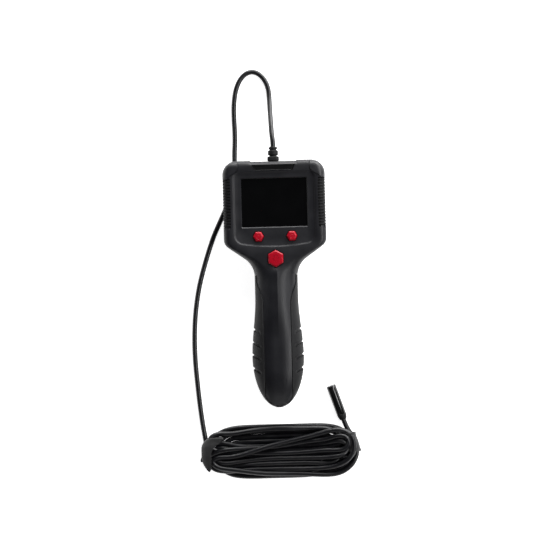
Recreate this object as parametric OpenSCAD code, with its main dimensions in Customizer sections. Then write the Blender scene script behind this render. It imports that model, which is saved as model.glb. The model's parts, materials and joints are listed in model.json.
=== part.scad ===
// Inspection camera: a hand-held screen unit lying on its back, its coiled
// probe cable and the camera head. +X is the width, +Y runs towards the
// cable end, +Z is the way the screen faces. The origin is under the middle
// of the housing, on the surface that it rests on. Millimetres.

/* [Housing] */
// Length of the housing, without the cable boot
housing_len = 205; // [203:0.5:207]
// Width across the screen head
head_w = 84.8; // [84.4:0.1:85.4]
// Thickness of the screen head
head_h = 31; // [30.8:0.1:31.4]
// Radius of the two top corners
corner_r = 11.5; // [11:0.5:12.5]
// Width of the neck below the head
neck_w = 35.8; // [35.8:0.1:36.4]
// Width of the handle at its widest
bulge_w = 43; // [42.6:0.1:43.6]
// Thickness of the handle
handle_h = 33.5; // [33:0.1:34]

/* [Screen] */
// Width of the visible screen
screen_w = 54; // [53:0.5:54.5]
// Height of the visible screen
screen_h = 40; // [39:0.5:40.5]

/* [Buttons] */
// Width across the corners of a small button
small_d = 9; // [8.4:0.1:10]
// Width across the corners of the power button
power_d = 14.2; // [13.6:0.1:14.4]
// Travel of each button
button_travel = 0.6; // [0.4:0.1:0.6]

/* [Cable] */
// Diameter of the probe cable
cable_d = 4.2; // [4:0.1:4.3]
// Outer diameter of the camera head
probe_d = 8; // [7.8:0.1:8.2]
// Length of the camera head's metal sleeve
probe_len = 25.6; // [24:0.2:26]

/* [Hidden] */

gap = 0.05;                // clearance between neighbouring pieces
top_y = housing_len / 2;
tip_y = -top_y;
split_z = 17;              // height of the joint between the two shells
wall = 2.2;                // shell wall in the head
grip_wall = 3.2;           // shell wall and grip together in the handle
edge_r = 5;                // rounding along the head's front edge
plateau_w = 22.5;          // half width of the flat back of the head
plateau_y = 84;            // where the head's back starts to rise
bevel_z = 12;              // height of the head's rear bevel
shoulder_y = 37.5;         // middle of the shoulder's arc
shoulder_r = 8;
neck_r = 18;
fall = 35;                 // slope of the shoulder, in degrees
bulge_y = -60;             // where the handle is widest
neck_y = -11;              // where the handle starts to widen
corner_x = head_w / 2 - corner_r;
corner_y = top_y - corner_r;
screen_y = 67.5;
small_x = 13.8;
small_y = 39.6;
power_y = 21.3;
panel_z = head_h - 0.8;    // face of the recessed panel round the screen
board_z = 18.2;
board_t = 1.6;
board_top = board_z + board_t;
boot_z = 22.2;             // height of the cable's axis where it leaves
rib_y0 = 47.9;
rib_pitch = 2.45;
rib_count = 16;

charcoal = [0.16, 0.165, 0.175];
soft_black = [0.11, 0.11, 0.12];
cable_black = [0.07, 0.07, 0.075];
red = [0.72, 0.02, 0.1];

// ---------------------------------------------------------------- helpers

function mix(a, b, t) = a + (b - a) * t;
function ramp(a, b, v) =
    let (t = max(0, min(1, (v - a) / (b - a)))) t * t * (3 - 2 * t);
function arc(r, v) = sqrt(max(0, r * r - v * v));
function flipped(p) = [for (i = [len(p) - 1:-1:0]) [-p[i][0], p[i][1]]];

// Half of the housing's width at y, drawn in by t all round
function line_x(t) = head_w / 2 - shoulder_r + (shoulder_r - t) * cos(90 - fall);
function line_y(t) = shoulder_y - (shoulder_r - t) * sin(90 - fall);
neck_cx = neck_w / 2 + neck_r;
neck_px = neck_cx - neck_r * cos(90 - fall);
neck_cy = line_y(0) - (line_x(0) - neck_px) * tan(fall) - neck_r * sin(90 - fall);
function half_w(y, t = 0) =
    y > corner_y ? corner_x + arc(corner_r - t, y - corner_y)
    : y > shoulder_y ? head_w / 2 - t
    : y > line_y(t) ? head_w / 2 - shoulder_r + arc(shoulder_r - t, y - shoulder_y)
    : y > neck_cy + (neck_r + t) * sin(90 - fall) ? line_x(t) - (line_y(t) - y) / tan(fall)
    : y > neck_cy ? neck_cx - arc(neck_r + t, y - neck_cy)
    : y > bulge_y ? mix(neck_w / 2, bulge_w / 2, ramp(neck_y, bulge_y, y)) - t
    : (bulge_w / 2 - t) * arc(1, (bulge_y - y) / (bulge_y - tip_y - t));

// 0 in the head, 1 in the handle
function blend(y) = ramp(30, 2, y);

// Highest and lowest line of the housing along its middle
function top_z(y, t) =
    y > top_y - edge_r ? head_h - edge_r + arc(edge_r - t, y - top_y + edge_r)
    : y > -72 ? mix(head_h, handle_h, ramp(12, -35, y)) - t
    : split_z + (handle_h - split_z - t) * arc(1, (-72 - y) / (-72 - tip_y - t));
function low_z(y, t) =
    y > plateau_y ? (y - plateau_y) * bevel_z / (top_y - plateau_y) + t
    : y > -86 ? t
    : split_z - (split_z - t) * arc(1, (-86 - y) / (-86 - tip_y - t));

// Front surface at (x, y): flat, then rounded towards the side
function front_rx(y) = mix(edge_r, half_w(y) - 3, blend(y));
function front_rz(y, t) =
    y > top_y - edge_r ? max(0, top_z(y, 0) - head_h + edge_r - t)
    : min(mix(edge_r, (top_z(y, 0) - split_z) * 0.92, blend(y)) - t, (top_z(y, t) - split_z) * 0.95);
function front_z(x, y, t) =
    let (cx = half_w(y) - front_rx(y), rx = max(0.1, front_rx(y) - t), rz = front_rz(y, t))
    top_z(y, t) - rz + rz * arc(1, min(1, max(0, abs(x) - cx) / rx));

// Where an overlaid skin ends on the front, and how thick it is
function seam_x(y) =
    y > 95 ? 29.4
    : y > 87.4 ? mix(38.5, 29.4, ramp(87.4, 95, y))
    : y > 8 ? half_w(y) - front_rx(y)
    : min(half_w(y) - 0.6, mix(11, half_w(8) - 0.6, ramp(-16, 9, y)));
function skin(y) = y > 87.4 ? 1.2 : grip_skin(y);
function grip_skin(y) = y > 8 || y < -99.2 ? 0 : 1.4;

// Stations along the housing, from the tip to the cable end
stations = [-102.4, -101.6, -100.6, -99.3, -99.1, -96.5, -93.5, -90, -86, -81, -74, -67, -60,
            -52, -44, -36, -27, -18, -11, -5, 1, 4.5, 7.9, 8.1, 12, 16, 20, 24, 28, 31, 33.5, 37.5,
            50, 68, 84, 87.3, 87.5, 89, 91, 93, 95, 97, 99, 100.5, 101.6, 102.2, top_y];
function inner_y(y, t) =
    y > corner_y ? corner_y + (y - corner_y) * (corner_r - t) / corner_r
    : y < bulge_y ? bulge_y + (y - bulge_y) * (bulge_y - tip_y - t) / (bulge_y - tip_y)
    : y;

// One front section from the right rim over the top to the left rim
steps = [90, 70, 52, 36, 20, 0];
function front_half(y, t, s) =
    let (w = half_w(y, t + s), xs = min(seam_x(y), w - 0.4))
    concat([[w, split_z]],
           [for (a = steps) let (x = mix(xs, w, sin(a))) [x, front_z(x, y, t + s)]],
           [[xs - 0.15, front_z(xs - 0.15, y, t)], [xs / 2, front_z(xs / 2, y, t)]]);
function front_section(y, t, s) =
    let (h = front_half(y, t, s))
    [for (p = concat(h, [[0, top_z(y, t)]], flipped(h))) [p[0], y, p[1]]];

// One rear section from the right rim under the bottom to the left rim
function flat_x(y, w) = min(mix(plateau_w, 16, blend(y)), w - 0.5);
function wall_z(y) = max(mix(bevel_z, 15, blend(y)), mix(low_z(y, 0), split_z, 0.85));
function rear_half(y, t, s) =
    let (w = half_w(y, t + s), fx = flat_x(y, w), m = 2 / mix(1, 2, blend(y)),
         z0 = low_z(y, t), rz = max(0.1, wall_z(y) - z0))
    concat([[w, split_z]],
           [for (a = steps) [fx + (w - fx) * pow(sin(a), m), z0 + rz * (1 - pow(cos(a), m))]]);
function rear_section(y, t, s) =
    let (h = rear_half(y, t, s))
    [for (p = concat(h, [[0, low_z(y, t)]], flipped(h))) [p[0], y, p[1]]];

// Two triangles for each cell of an m by k grid of points that starts at o
function grid(m, k, o, turn) = [
    for (i = [0:m - 2], j = [0:k - 2])
        let (a = o + i * k + j, b = a + 1, c = a + k, d = c + 1)
        each turn ? [[a, c, b], [b, c, d]] : [[a, b, c], [b, d, c]]];
function cap(k, o, turn) = turn ? [[for (j = [0:k - 1]) o + j]] : [[for (j = [k - 1:-1:0]) o + j]];

// Half a shell: the outer grid, the inner grid and the rim between them
module half_shell(outer, inner, turn) {
    m = len(outer);
    k = len(outer[0]);
    n = m * k;
    rim = [for (i = [0:m - 2])
        let (a = i * k, c = a + k, p = a + k - 1, q = c + k - 1)
        each turn ? [[a, n + a, n + c], [a, n + c, c], [p, q, n + q], [p, n + q, n + p]]
                  : [[a, n + c, n + a], [a, c, n + c], [p, n + q, q], [p, n + p, n + q]]];
    ends = turn
        ? [[0, k - 1, n + k - 1, n], [n - k, 2 * n - k, 2 * n - 1, n - 1]]
        : [[0, n, n + k - 1, k - 1], [n - k, n - 1, 2 * n - 1, 2 * n - k]];
    polyhedron(concat([for (s = outer) each s], [for (s = inner) each s]),
               concat(grid(m, k, 0, turn), grid(m, k, n, !turn), rim, ends,
                      cap(k, 0, turn), cap(k, n - k, !turn),
                      cap(k, n, !turn), cap(k, 2 * n - k, turn)));
}

// A closed tube of sections, each a ring of points
module loft(rings, turn = false) {
    m = len(rings);
    k = len(rings[0]);
    polyhedron([for (r = rings) each r],
               concat(grid(m, k, 0, turn),
                      [for (i = [0:m - 2])
                          let (a = i * k + k - 1, b = i * k, c = a + k, d = b + k)
                          each turn ? [[a, c, b], [b, c, d]] : [[a, b, c], [b, d, c]]],
                      cap(k, 0, turn), cap(k, m * k - k, !turn)));
}

module hex_bar(d, h, turn = 0) {
    rotate([0, 0, turn]) cylinder(d = d, h = h, $fn = 6);
}

module both_sides() {
    children();
    mirror([1, 0, 0]) children();
}

// Places of the fasteners, where a screw's boss starts in the rear shell and
// where the screw's head sits in it
function boss_z(y) = y < 0 ? 4.6 : y < 50 ? 9.5 : 14.1;
function seat_z(y) = y < 50 ? 12.1 : 15.4;
function screw_top(y) = y < 0 ? 21.1 : 24.1;
shell_screw_at = [[34.4, 94], [-34.4, 94], [34.4, 37.5], [-34.4, 37.5], [0, -93.5]];
board_screw_at = [[33.2, 85], [-33.2, 85], [33.2, 48], [-33.2, 48]];
clamp_screw_at = [[7.6, 95.3], [-7.6, 95.3]];
cell_x = 7.2;
cell_d = 14.2;
cell_l = 50.5;
cell_z = 10.6;
cell_y = [-79.5, -28.5];   // lower end of each row of cells
bay_y0 = -85.5;
bay_y1 = 22.6;
roof_z = 17.75;            // underside of the battery bay's roof
door_w = 14.4;
door_y0 = -97;
door_y1 = 20.8;
tail_y = -84.2;            // where the door widens into its tail

// ---------------------------------------------------------------- casing

module rear_shell() {
    color(charcoal) difference() {
        union() {
            half_shell([for (y = stations) rear_section(y, 0, grip_skin(y))],
                       [for (y = stations) let (t = shell_t(y)) rear_section(inner_y(y, t), t, 0)],
                       true);
            for (p = shell_screw_at) let (z0 = boss_z(p[1]))
                translate([p[0], p[1], z0]) cylinder(r = 3.6, h = split_z - z0, $fn = 32);
            // walls across the two ends of the battery bay
            translate([-14.2, bay_y1, 2]) cube([28.4, 1.4, roof_z - gap - 2]);
            translate([-13.2, bay_y0 - 1.4, 3]) cube([26.4, 1.4, roof_z - gap - 3]);
        }
        for (p = shell_screw_at) {
            translate([p[0], p[1], -1]) cylinder(r = 1.7, h = 20, $fn = 32);
            translate([p[0], p[1], -1]) cylinder(r = 3, h = seat_z(p[1]) + 1, $fn = 32);
        }
        // the door's opening, the bay behind it, its grooves and its tail's room
        translate([-door_w - 0.1, tail_y - 20, -1]) cube([2 * door_w + 0.2, door_y1 - tail_y + 20.1, 3.45]);
        translate([-door_w + 0.05, bay_y0, 2]) cube([2 * door_w - 0.1, bay_y1 - bay_y0, 2.5]);
        translate([-15.5, tail_y - 20, 1.2]) cube([31, 20 + 98, 1.25]);
        translate([-25, tip_y - 1, -1]) cube([50, tail_y - tip_y + 1, 3.45]);
    }
}

// Thickness of the shells, with room for the grips in the handle
function shell_t(y) = mix(wall, grip_wall, blend(y));

module front_shell() {
    color(charcoal) difference() {
        union() {
            half_shell([for (y = stations) front_section(y, 0, skin(y))],
                       [for (y = stations) let (t = shell_t(y)) front_section(inner_y(y, t), t, 0)],
                       false);
            for (p = shell_screw_at)
                translate([p[0], p[1], split_z]) cylinder(r = 2.9, h = p[1] < 0 ? 9 : 11.9, $fn = 32);
            for (p = board_screw_at)
                translate([p[0], p[1], board_top]) cylinder(r = 2.3, h = 29 - board_top, $fn = 32);
            for (p = clamp_screw_at)
                translate([p[0], p[1], 24.6]) cylinder(r = 2.2, h = 4.4, $fn = 32);
        }
        for (p = shell_screw_at)
            translate([p[0], p[1], split_z - 1])
                cylinder(r = 1.25, h = screw_top(p[1]) + 2 - split_z, $fn = 32);
        for (p = board_screw_at)
            translate([p[0], p[1], board_z]) cylinder(r = 0.95, h = 9, $fn = 32);
        for (p = clamp_screw_at)
            translate([p[0], p[1], 24]) cylinder(r = 0.95, h = 4, $fn = 32);
        // the screen's window in its recessed panel
        translate([-screen_w / 2, screen_y - screen_h / 2, 24]) cube([screen_w, screen_h, 10]);
        translate([0, 0, panel_z]) linear_extrude(height = 4) panel_outline();
        // openings for the buttons
        both_sides() translate([small_x, small_y, 24]) hex_bar(small_d + 0.36, 10);
        translate([0, power_y, 24]) hex_bar(power_d + 0.4, 12, 30);
        // the bay for the name plate and the lowered edge above it
        translate([0, 0, 29.55]) linear_extrude(height = 4) plate_outline(0.05);
        translate([-18.2, top_y - 1.3, split_z + 1]) cube([36.4, 4, 20]);
        // the notch that holds the cable boot
        translate([-4.95, 97.9, split_z - 1]) cube([9.9, 8, 11.65]);
        both_sides() translate([0, rib_y0 - 0.1, 0]) rib_bar(1.5 + gap, rib_count * rib_pitch + 0.2);
    }
}

// The outline of the panel round the screen: round corners, bowed below
module panel_outline() {
    polygon(concat(
        [for (a = [0:15:90]) [28.6 + 4.6 * cos(a), 87.8 + 4.6 * sin(a)]],
        [for (a = [90:15:180]) [-28.6 + 4.6 * cos(a), 87.8 + 4.6 * sin(a)]],
        [for (a = [180:12:240]) [-25.2 + 8 * cos(a), 41.4 + 8 * sin(a)]],
        [for (x = [-18:6:18]) [x, 31.4 + 3.2 * pow(x / 29, 2)]],
        [for (a = [300:12:360]) [25.2 + 8 * cos(a), 41.4 + 8 * sin(a)]]));
}

module plate_outline(grow) {
    polygon([[-15.4 - grow, 93.8 - grow], [15.4 + grow, 93.8 - grow],
             [17.9 + grow, 98.7 + grow], [-17.9 - grow, 98.7 + grow]]);
}

// A bar that follows the head's rounded front edge, depth thick
module rib_bar(depth, length) {
    x1 = head_w / 2;
    z1 = head_h;
    translate([0, length, 0]) rotate([90, 0, 0]) linear_extrude(height = length)
        polygon(concat(
            [[x1 - 6.2, z1 + 0.01]],
            [for (a = [90:-10:0])
                [x1 - edge_r + (edge_r + 0.01) * cos(a), z1 - edge_r + (edge_r + 0.01) * sin(a)]],
            [[x1 + 0.01, 19], [x1 - depth, 19]],
            [for (a = [0:10:90])
                [x1 - edge_r + (edge_r - depth) * cos(a), z1 - edge_r + (edge_r - depth) * sin(a)]],
            [[x1 - 6.2, z1 - depth]]));
}

module left_grip() { mirror([1, 0, 0]) right_grip(); }

module right_grip() {
    color(soft_black) difference() {
        loft([for (y = stations) if (grip_skin(y) > 0)
                 [for (p = grip_ring(y)) [p[0], y, p[1]]]], true);
        for (i = [0:3])
            translate([21.5, -36 - 11 * i, 24]) rotate([0, 0, 28]) cube([9, 2, 40], center = true);
    }
}

// Closed section of a grip: round the side of the handle, and back inside it
function grip_ring(y) =
    let (t = 1.15, w = half_w(y), v = half_w(y, t), xs = min(seam_x(y), half_w(y, 1.4) - 0.4) + gap,
         zf = function (x) front_z(x, y, 0), zi = function (x) front_z(x, y, t),
         fx = flat_x(y, w), vx = min(flat_x(y, half_w(y, 1.4)), v - 0.45), z0 = low_z(y, 0),
         rz = max(0.1, wall_z(y) - z0), m = 2 / mix(1, 2, blend(y)), base = [90, 70, 52, 36])
    concat([for (a = [0, 20, 36, 52, 70, 90]) let (x = mix(xs, w, sin(a))) [x, zf(x)]],
           [[w, split_z]],
           [for (a = base) [fx + (w - fx) * pow(sin(a), m), z0 + rz * (1 - pow(cos(a), m))]],
           [for (i = [len(base) - 1:-1:0]) let (a = base[i])
               [vx + (v - vx) * pow(sin(a), m), z0 + rz * (1 - pow(cos(a), m))]],
           [[v, split_z]],
           [for (a = [90, 70, 52, 36, 20, 0]) let (x = mix(xs, v, sin(a))) [x, zi(x)]]);

module left_corner_guard() { mirror([1, 0, 0]) right_corner_guard(); }

module right_corner_guard() {
    color(charcoal)
        loft([for (y = stations) if (y > 87.4 && y < top_y - 0.2)
                 [for (p = guard_ring(y)) [p[0], y, p[1]]]], true);
}

// Closed section of a corner guard
function guard_ring(y) =
    let (t = 1.05, w = half_w(y), v = half_w(y, t), xs = min(seam_x(y), half_w(y, 1.2) - 0.4) + gap)
    concat([for (a = [0, 20, 36, 52, 70, 90]) let (x = mix(xs, w, sin(a))) [x, front_z(x, y, 0)]],
           [[w, split_z + gap], [v, split_z + gap]],
           [for (a = [90, 70, 52, 36, 20, 0]) let (x = mix(xs, v, sin(a))) [x, front_z(x, y, t)]]);

module right_side_ribs() {
    color(soft_black) translate([0, rib_y0, 0]) intersection() {
        union() {
            difference() {
                rib_bar(1.5, rib_count * rib_pitch);
                translate([0, -1, 0]) rib_bar(0.8, rib_count * rib_pitch + 2);
            }
            for (i = [0:rib_count - 1])
                translate([0, i * rib_pitch + 0.5, 0]) rib_bar(1.2, rib_pitch - 1.1);
        }
        translate([head_w / 2 - 6.15, 0, 19.05]) cube([6.15, 50, 20]);
    }
}

module left_side_ribs() { mirror([1, 0, 0]) right_side_ribs(); }

module name_plate() {
    color(soft_black) translate([0, 0, 29.55]) linear_extrude(height = 0.75) plate_outline(0);
}

// The door slides off towards the tip of the handle
module battery_door() {
    color(charcoal) difference() {
        union() {
            translate([-door_w, tail_y, 0.35]) cube([2 * door_w, door_y1 - tail_y, 2]);
            translate([-15.4, tail_y, 1.3]) cube([30.8, 98 - 1, 1.05]);
            translate([0, 0, 0.35]) linear_extrude(height = 2) polygon(door_tail());
        }
        // the tail's underside rises with the tip
        translate([-30, door_y0 - 1, -1]) rotate([90, 0, 90]) linear_extrude(height = 60)
            polygon([[0, 0], [12, 0], [12, 1.35], [8, 1.7], [4.5, 2.4], [1, 3.25], [0, 3.3]]);
        for (i = [0:4])
            translate([-9, 6 - 3 * i, 0.2]) cube([18, 1.2, 0.55]);
    }
}

function door_tail() =
    let (ys = [tail_y, -87, -90, -93, -95, door_y0])
    concat([for (y = ys) [half_w(y, 2.6), y]],
           [for (i = [len(ys) - 1:-1:0]) [-half_w(ys[i], 2.6), ys[i]]]);

// ---------------------------------------------------------------- screen

module screen_frame(w, h, t, opening_w, opening_h) {
    difference() {
        translate([-w / 2, -h / 2, 0]) cube([w, h, t]);
        translate([-opening_w / 2, -opening_h / 2, -1]) cube([opening_w, opening_h, t + 2]);
    }
}

module lens_gasket() {
    color("black") translate([0, screen_y, 28.45])
        screen_frame(screen_w + 4, screen_h + 4, 0.2, screen_w + 0.6, screen_h + 0.6);
}

module screen_lens() {
    color([0.05, 0.05, 0.06]) translate([-screen_w / 2 - 2, screen_y - screen_h / 2 - 2, 27.2])
        cube([screen_w + 4, screen_h + 4, 1.25]);
}

module lcd_panel() {
    color([0.03, 0.03, 0.035]) translate([-screen_w / 2 - 3, screen_y - screen_h / 2 - 1.6, 24])
        cube([screen_w + 6, screen_h + 4, 3.1]);
}

module lcd_frame() {
    color("silver") translate([0, screen_y + 0.4, 21.4]) {
        screen_frame(screen_w + 7.4, screen_h + 6.6, 2.55, screen_w - 4, screen_h - 4);
        screen_frame(screen_w + 7.4, screen_h + 6.6, 5.2, screen_w + 6.3, screen_h + 4.3);
        for (x = [-28, 28], y = [-15, 15])
            translate([x - 2, y - 2, board_top - 21.4 + gap]) cube([4, 4, 21.5 - board_top - gap]);
    }
}

module lcd_ribbon() {
    color("orange") translate([-9, screen_y + 2, board_top]) {
        translate([0, 0, 0.9]) cube([18, 12, 0.25]);
        translate([0, 0, 0.9]) cube([18, 0.25, 24 - board_top - 0.95]);
        translate([0, 11.75, 0.02]) cube([18, 0.25, 1]);
    }
}

// ---------------------------------------------------------------- board

module main_board() {
    color([0.05, 0.3, 0.15]) difference() {
        translate([0, 0, board_z]) linear_extrude(height = board_t)
            polygon([[-11, 29.5], [-11, 14.5], [11, 14.5], [11, 29.5], [27, 34], [28, 42.5],
                     [36.5, 42.5], [36.5, 89], [-36.5, 89], [-36.5, 42.5], [-28, 42.5], [-27, 34]]);
        for (p = board_screw_at)
            translate([p[0], p[1], board_z - 1]) cylinder(r = 1.2, h = 4, $fn = 32);
    }
}

module board_chips() {
    color([0.06, 0.06, 0.06]) translate([0, 0, board_z - 0.02]) mirror([0, 0, 1]) {
        translate([-7, 60, 0]) cube([14, 14, 1.2]);
        translate([12, 62, 0]) cube([8, 12, 1]);
        translate([-24, 62, 0]) cube([10, 8, 1]);
        translate([-6, 44, 0]) cube([7, 5, 1.1]);
        for (i = [0:3]) translate([16 + 4 * i, 50, 0]) cylinder(d = 3, h = 4, $fn = 24);
        for (i = [0:5]) translate([-30 + 4 * i, 52, 0]) cube([2, 1.2, 0.8]);
    }
}

module board_plugs() {
    color("ivory") translate([0, 0, board_z - 0.02]) mirror([0, 0, 1]) {
        translate([-5, 80.5, 0]) cube([10, 4.5, 3.4]);
        translate([-4, 32, 0]) cube([8, 4.5, 3.4]);
    }
}

module board_screws() {
    color("silver") for (p = board_screw_at) translate([p[0], p[1], board_z - 1.3]) {
        difference() {
            cylinder(d = 3.8, h = 1.28, $fn = 32);
            translate([0, 0, -1]) cylinder(d = 1.4, h = 1.7, $fn = 6);
        }
        cylinder(d = 1.88, h = 8, $fn = 32);
    }
}

module tact_switch(x, y) {
    translate([x, y, board_top + 0.02]) {
        translate([-3, -3, 0]) cube([6, 6, 3.4]);
        cylinder(d = 3.4, h = 4.9, $fn = 32);
    }
}

module tact_switches() {
    color([0.2, 0.2, 0.22]) {
        tact_switch(-small_x, small_y);
        tact_switch(small_x, small_y);
        tact_switch(0, power_y);
    }
}

// A cap with a flange under the panel and a stem down to its switch
module button(d, flange, turn, top) {
    color(red) {
        translate([0, 0, 27.9]) hex_bar(d, top - 0.8 - 27.9, turn);
        translate([0, 0, top - 1]) hex_bar(d - 1.2, 1, turn);
        translate([0, 0, 27.35]) hex_bar(flange, 0.75, turn);
        translate([0, 0, board_top + 5 + button_travel])
            cylinder(d = 4, h = 27.4 - board_top - 5 - button_travel, $fn = 32);
    }
}

module left_button() { translate([-small_x, small_y, 0]) button(small_d, small_d + 1.2, 0, 31.9); }
module right_button() { translate([small_x, small_y, 0]) button(small_d, small_d + 1.2, 0, 31.9); }
module power_button() { translate([0, power_y, 0]) button(power_d, power_d + 2, 30, 32.9); }

// ---------------------------------------------------------------- fasteners

// Each screw's head sits in its counterbore and its thread in the front's boss
module shell_screws() {
    color("silver") for (p = shell_screw_at) let (seat = seat_z(p[1]))
        translate([p[0], p[1], seat]) difference() {
            union() {
                translate([0, 0, -1.6]) cylinder(d = 5.6, h = 1.6, $fn = 32);
                translate([0, 0, -1]) cylinder(d = 2.48, h = screw_top(p[1]) + 1 - seat, $fn = 32);
            }
            translate([0, 0, -2]) cylinder(d = 2.4, h = 1.4, $fn = 6);
        }
}

module clamp_screws() {
    color("silver") for (p = clamp_screw_at)
        translate([p[0], p[1], 20.7]) {
            cylinder(d = 3.8, h = 1.2, $fn = 32);
            cylinder(d = 1.88, h = 7, $fn = 32);
        }
}

// ---------------------------------------------------------------- power

module battery_cells() {
    color([0.75, 0.6, 0.2]) for (x = [-cell_x, cell_x], y = cell_y)
        translate([x, y, cell_z]) rotate([-90, 0, 0]) {
            cylinder(d = cell_d, h = cell_l - 1.2, $fn = 48);
            cylinder(d = 5.2, h = cell_l, $fn = 32);
        }
}

module battery_springs() {
    color("silver") for (x = [-cell_x, cell_x]) translate([x, cell_y[0], cell_z]) rotate([90, 0, 0])
        for (i = [0:3]) translate([0, 0, 0.1 + 1.2 * i])
            difference() {
                cylinder(d = 5 + i, h = 1.2, $fn = 32);
                translate([0, 0, -1]) cylinder(d = 3.4 + i, h = 4, $fn = 32);
            }
}

module contact_plates() {
    color("silver") {
        translate([-11.6, bay_y0 + 0.05, 5]) cube([23.2, 0.5, 11]);
        for (x = [-cell_x, cell_x])
            translate([x - 4.5, bay_y1 - 0.55, 6]) cube([9, 0.5, 9]);
    }
}

// The roof lies on the bay's end walls, with a thin tongue under the board
module bay_roof() {
    color(soft_black) translate([0, 0, roof_z]) {
        translate([-12.8, bay_y0 - 1.2, 0]) cube([25.6, 98.7, 1.2]);
        translate([-10, 12, 0]) cube([20, 11.8, 0.4]);
        for (y = [bay_y0 + 3, -30, 10.8])
            translate([-12.4, y, 1]) cube([24.8, 1.2, 1.6]);
    }
}

module battery_wires() {
    wire = 1.2;
    color("firebrick") for (x = [-2.2, 2.2]) {
        translate([x, bay_y1 + 1.45, 9]) cube([wire, 9.5, wire]);
        translate([x, bay_y1 + 9.75, 9]) cube([wire, wire, board_z - 3.45 - 9]);
    }
}

// ---------------------------------------------------------------- cable exit

module cable_boot() {
    color(soft_black) translate([0, 0, boot_z]) {
        difference() {
            union() {
                translate([-4.85, 98, -5.1]) cube([9.7, 7.7, 10.3]);
                rotate([-90, 0, 0]) translate([0, 0, 105]) cylinder(d = 5.8, h = 9, $fn = 32);
                rotate([-90, 0, 0]) translate([0, 0, 107.1]) cylinder(d = 8.4, h = 3.9, $fn = 32);
                rotate([-90, 0, 0]) translate([0, 0, 112.2]) cylinder(d = 7.2, h = 1.6, $fn = 32);
            }
            rotate([-90, 0, 0]) translate([0, 0, 90]) cylinder(d = cable_d + 0.4, h = 30, $fn = 32);
            both_sides() translate([4.1, 101.6, -8]) cube([2, 1, 16]);
        }
    }
}

module inner_cable() {
    color(cable_black) {
        translate([0, 92.8, boot_z]) rotate([-90, 0, 0]) cylinder(d = cable_d, h = 9.6, $fn = 32);
        translate([-2, 91.6, 15.5]) cube([4, 1.25, boot_z - 15.5]);
        translate([-2, 85.05, 15.5]) cube([4, 7.7, 1.2]);
    }
}

module cable_clamp() {
    color(soft_black) difference() {
        translate([-10, 93.2, 21.95]) cube([20, 4.2, 2.6]);
        translate([0, 80, boot_z]) rotate([-90, 0, 0]) cylinder(d = cable_d + 0.1, h = 20, $fn = 32);
        for (p = clamp_screw_at) translate([p[0], p[1], 15]) cylinder(r = 1.05, h = 20, $fn = 32);
    }
}

// ---------------------------------------------------------------- free cable

// Route of the cable's axis from the boot to the hank: along the table, in a
// loop past the end of the housing and back under its corner
lead_route = [
    [0, 102.5, 22.2], [0, 111.1, 22.2], [0, 118, 22], [-0.6, 124, 20.5], [-1, 131, 17.4],
    [-1.3, 138, 13.2], [-1.6, 145, 9], [-1.8, 152, 5.5], [-2, 158, 3.4], [-2.5, 163.5, 2.4], [-4, 169, 2.1],
    [-7.2, 174.4, 2.1], [-11.4, 178, 2.1], [-16.1, 179.3, 2.1], [-20.8, 178, 2.1],
    [-25.4, 173.8, 2.1], [-28.8, 167.4, 2.1], [-30.8, 160, 2.1], [-31.9, 150, 2.1],
    [-32, 140, 2.1], [-31.7, 130, 2.1], [-31.8, 120, 2.1], [-32.3, 112, 2.1], [-32.5, 104, 2.1],
    [-32.6, 96, 2.1], [-33.4, 87, 2.1], [-35.6, 78, 2.1], [-38.9, 69, 2.1], [-43, 60, 2.1],
    [-47.5, 50.6, 2.1], [-51.9, 41, 2.1], [-59.2, 20, 2.1], [-64.8, 0, 2.1], [-68.3, -20, 2.1],
    [-69.9, -40, 2.1], [-70, -60, 2.1], [-68.6, -82, 2.1], [-66.8, -102, 2.1],
    [-64.9, -118, 2.3], [-62.8, -130, 3]];

// Frame of the hank and of the camera head
hank_x = 67;
hank_y = [-163.6, -117.8];
hank_h = 10.5;
strap_x = -52;
probe_at = [52, -110.9, probe_d / 2];
probe_turn = 19;

module cable_lead() {
    color(cable_black) loft(sweep(lead_route, cable_d / 2, 8));
}

module cable_tail() {
    color(cable_black)
        loft(sweep([[53.45, -115.1, 4], [54.4, -118.6, 4.1], [55.8, -122, 4.4], [57.6, -125.6, 4.8]],
                   cable_d / 2, 8));
}

// Rings of n points round a route
function unit(v) = v / norm(v);
function sweep(route, r, n) = [
    for (i = [0:len(route) - 1])
        let (a = route[max(0, i - 1)], b = route[min(len(route) - 1, i + 1)],
             d = unit(b - a), s = unit(cross(d, [0, 0, 1])), u = cross(s, d), k = r / cos(180 / n) * 0.985)
        [for (j = [0:n - 1]) let (q = 360 * (j + 0.5) / n) route[i] + k * (s * cos(q) + u * sin(q))]];

// The coiled length: a flat hank with round ends, waisted under its straps
module cable_hank() {
    color(cable_black) difference() {
        linear_extrude(height = hank_h) hank_outline(0);
        strap_band(strap_x, 12, gap);
        translate([hank_x - 8, -142, -1]) cube([20, 16, 3]);
        translate([hank_x - 8, -142, hank_h - 1.6]) cube([20, 16, 3]);
        translate([hank_x - 1.6, -142, -1]) cube([20, 16, 20]);
        translate([hank_x - 8, -142, -1]) cube([1.6, 16, 20]);
    }
}

module hank_outline(inset) {
    r = 21;
    yc = (hank_y[0] + hank_y[1]) / 2;
    polygon(concat(
        [for (a = [-80:20:80]) [hank_x - 25 + (25 - inset) * cos(a), yc + (22.9 - inset) * sin(a)]],
        [for (a = [100:20:260]) [-hank_x + 25 + (25 - inset) * cos(a), yc + (r - inset) * sin(a)]]));
}

// The space a band takes where it is wrapped round the hank
module strap_band(x, w, grow) {
    difference() {
        translate([x - w / 2 - grow, hank_y[0] - 5, -1]) cube([w + 2 * grow, 60, hank_h + 2]);
        translate([0, 0, 1.4 + grow]) linear_extrude(height = hank_h - 2.8 - 2 * grow)
            hank_outline(1.4 + grow);
    }
}

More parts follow.
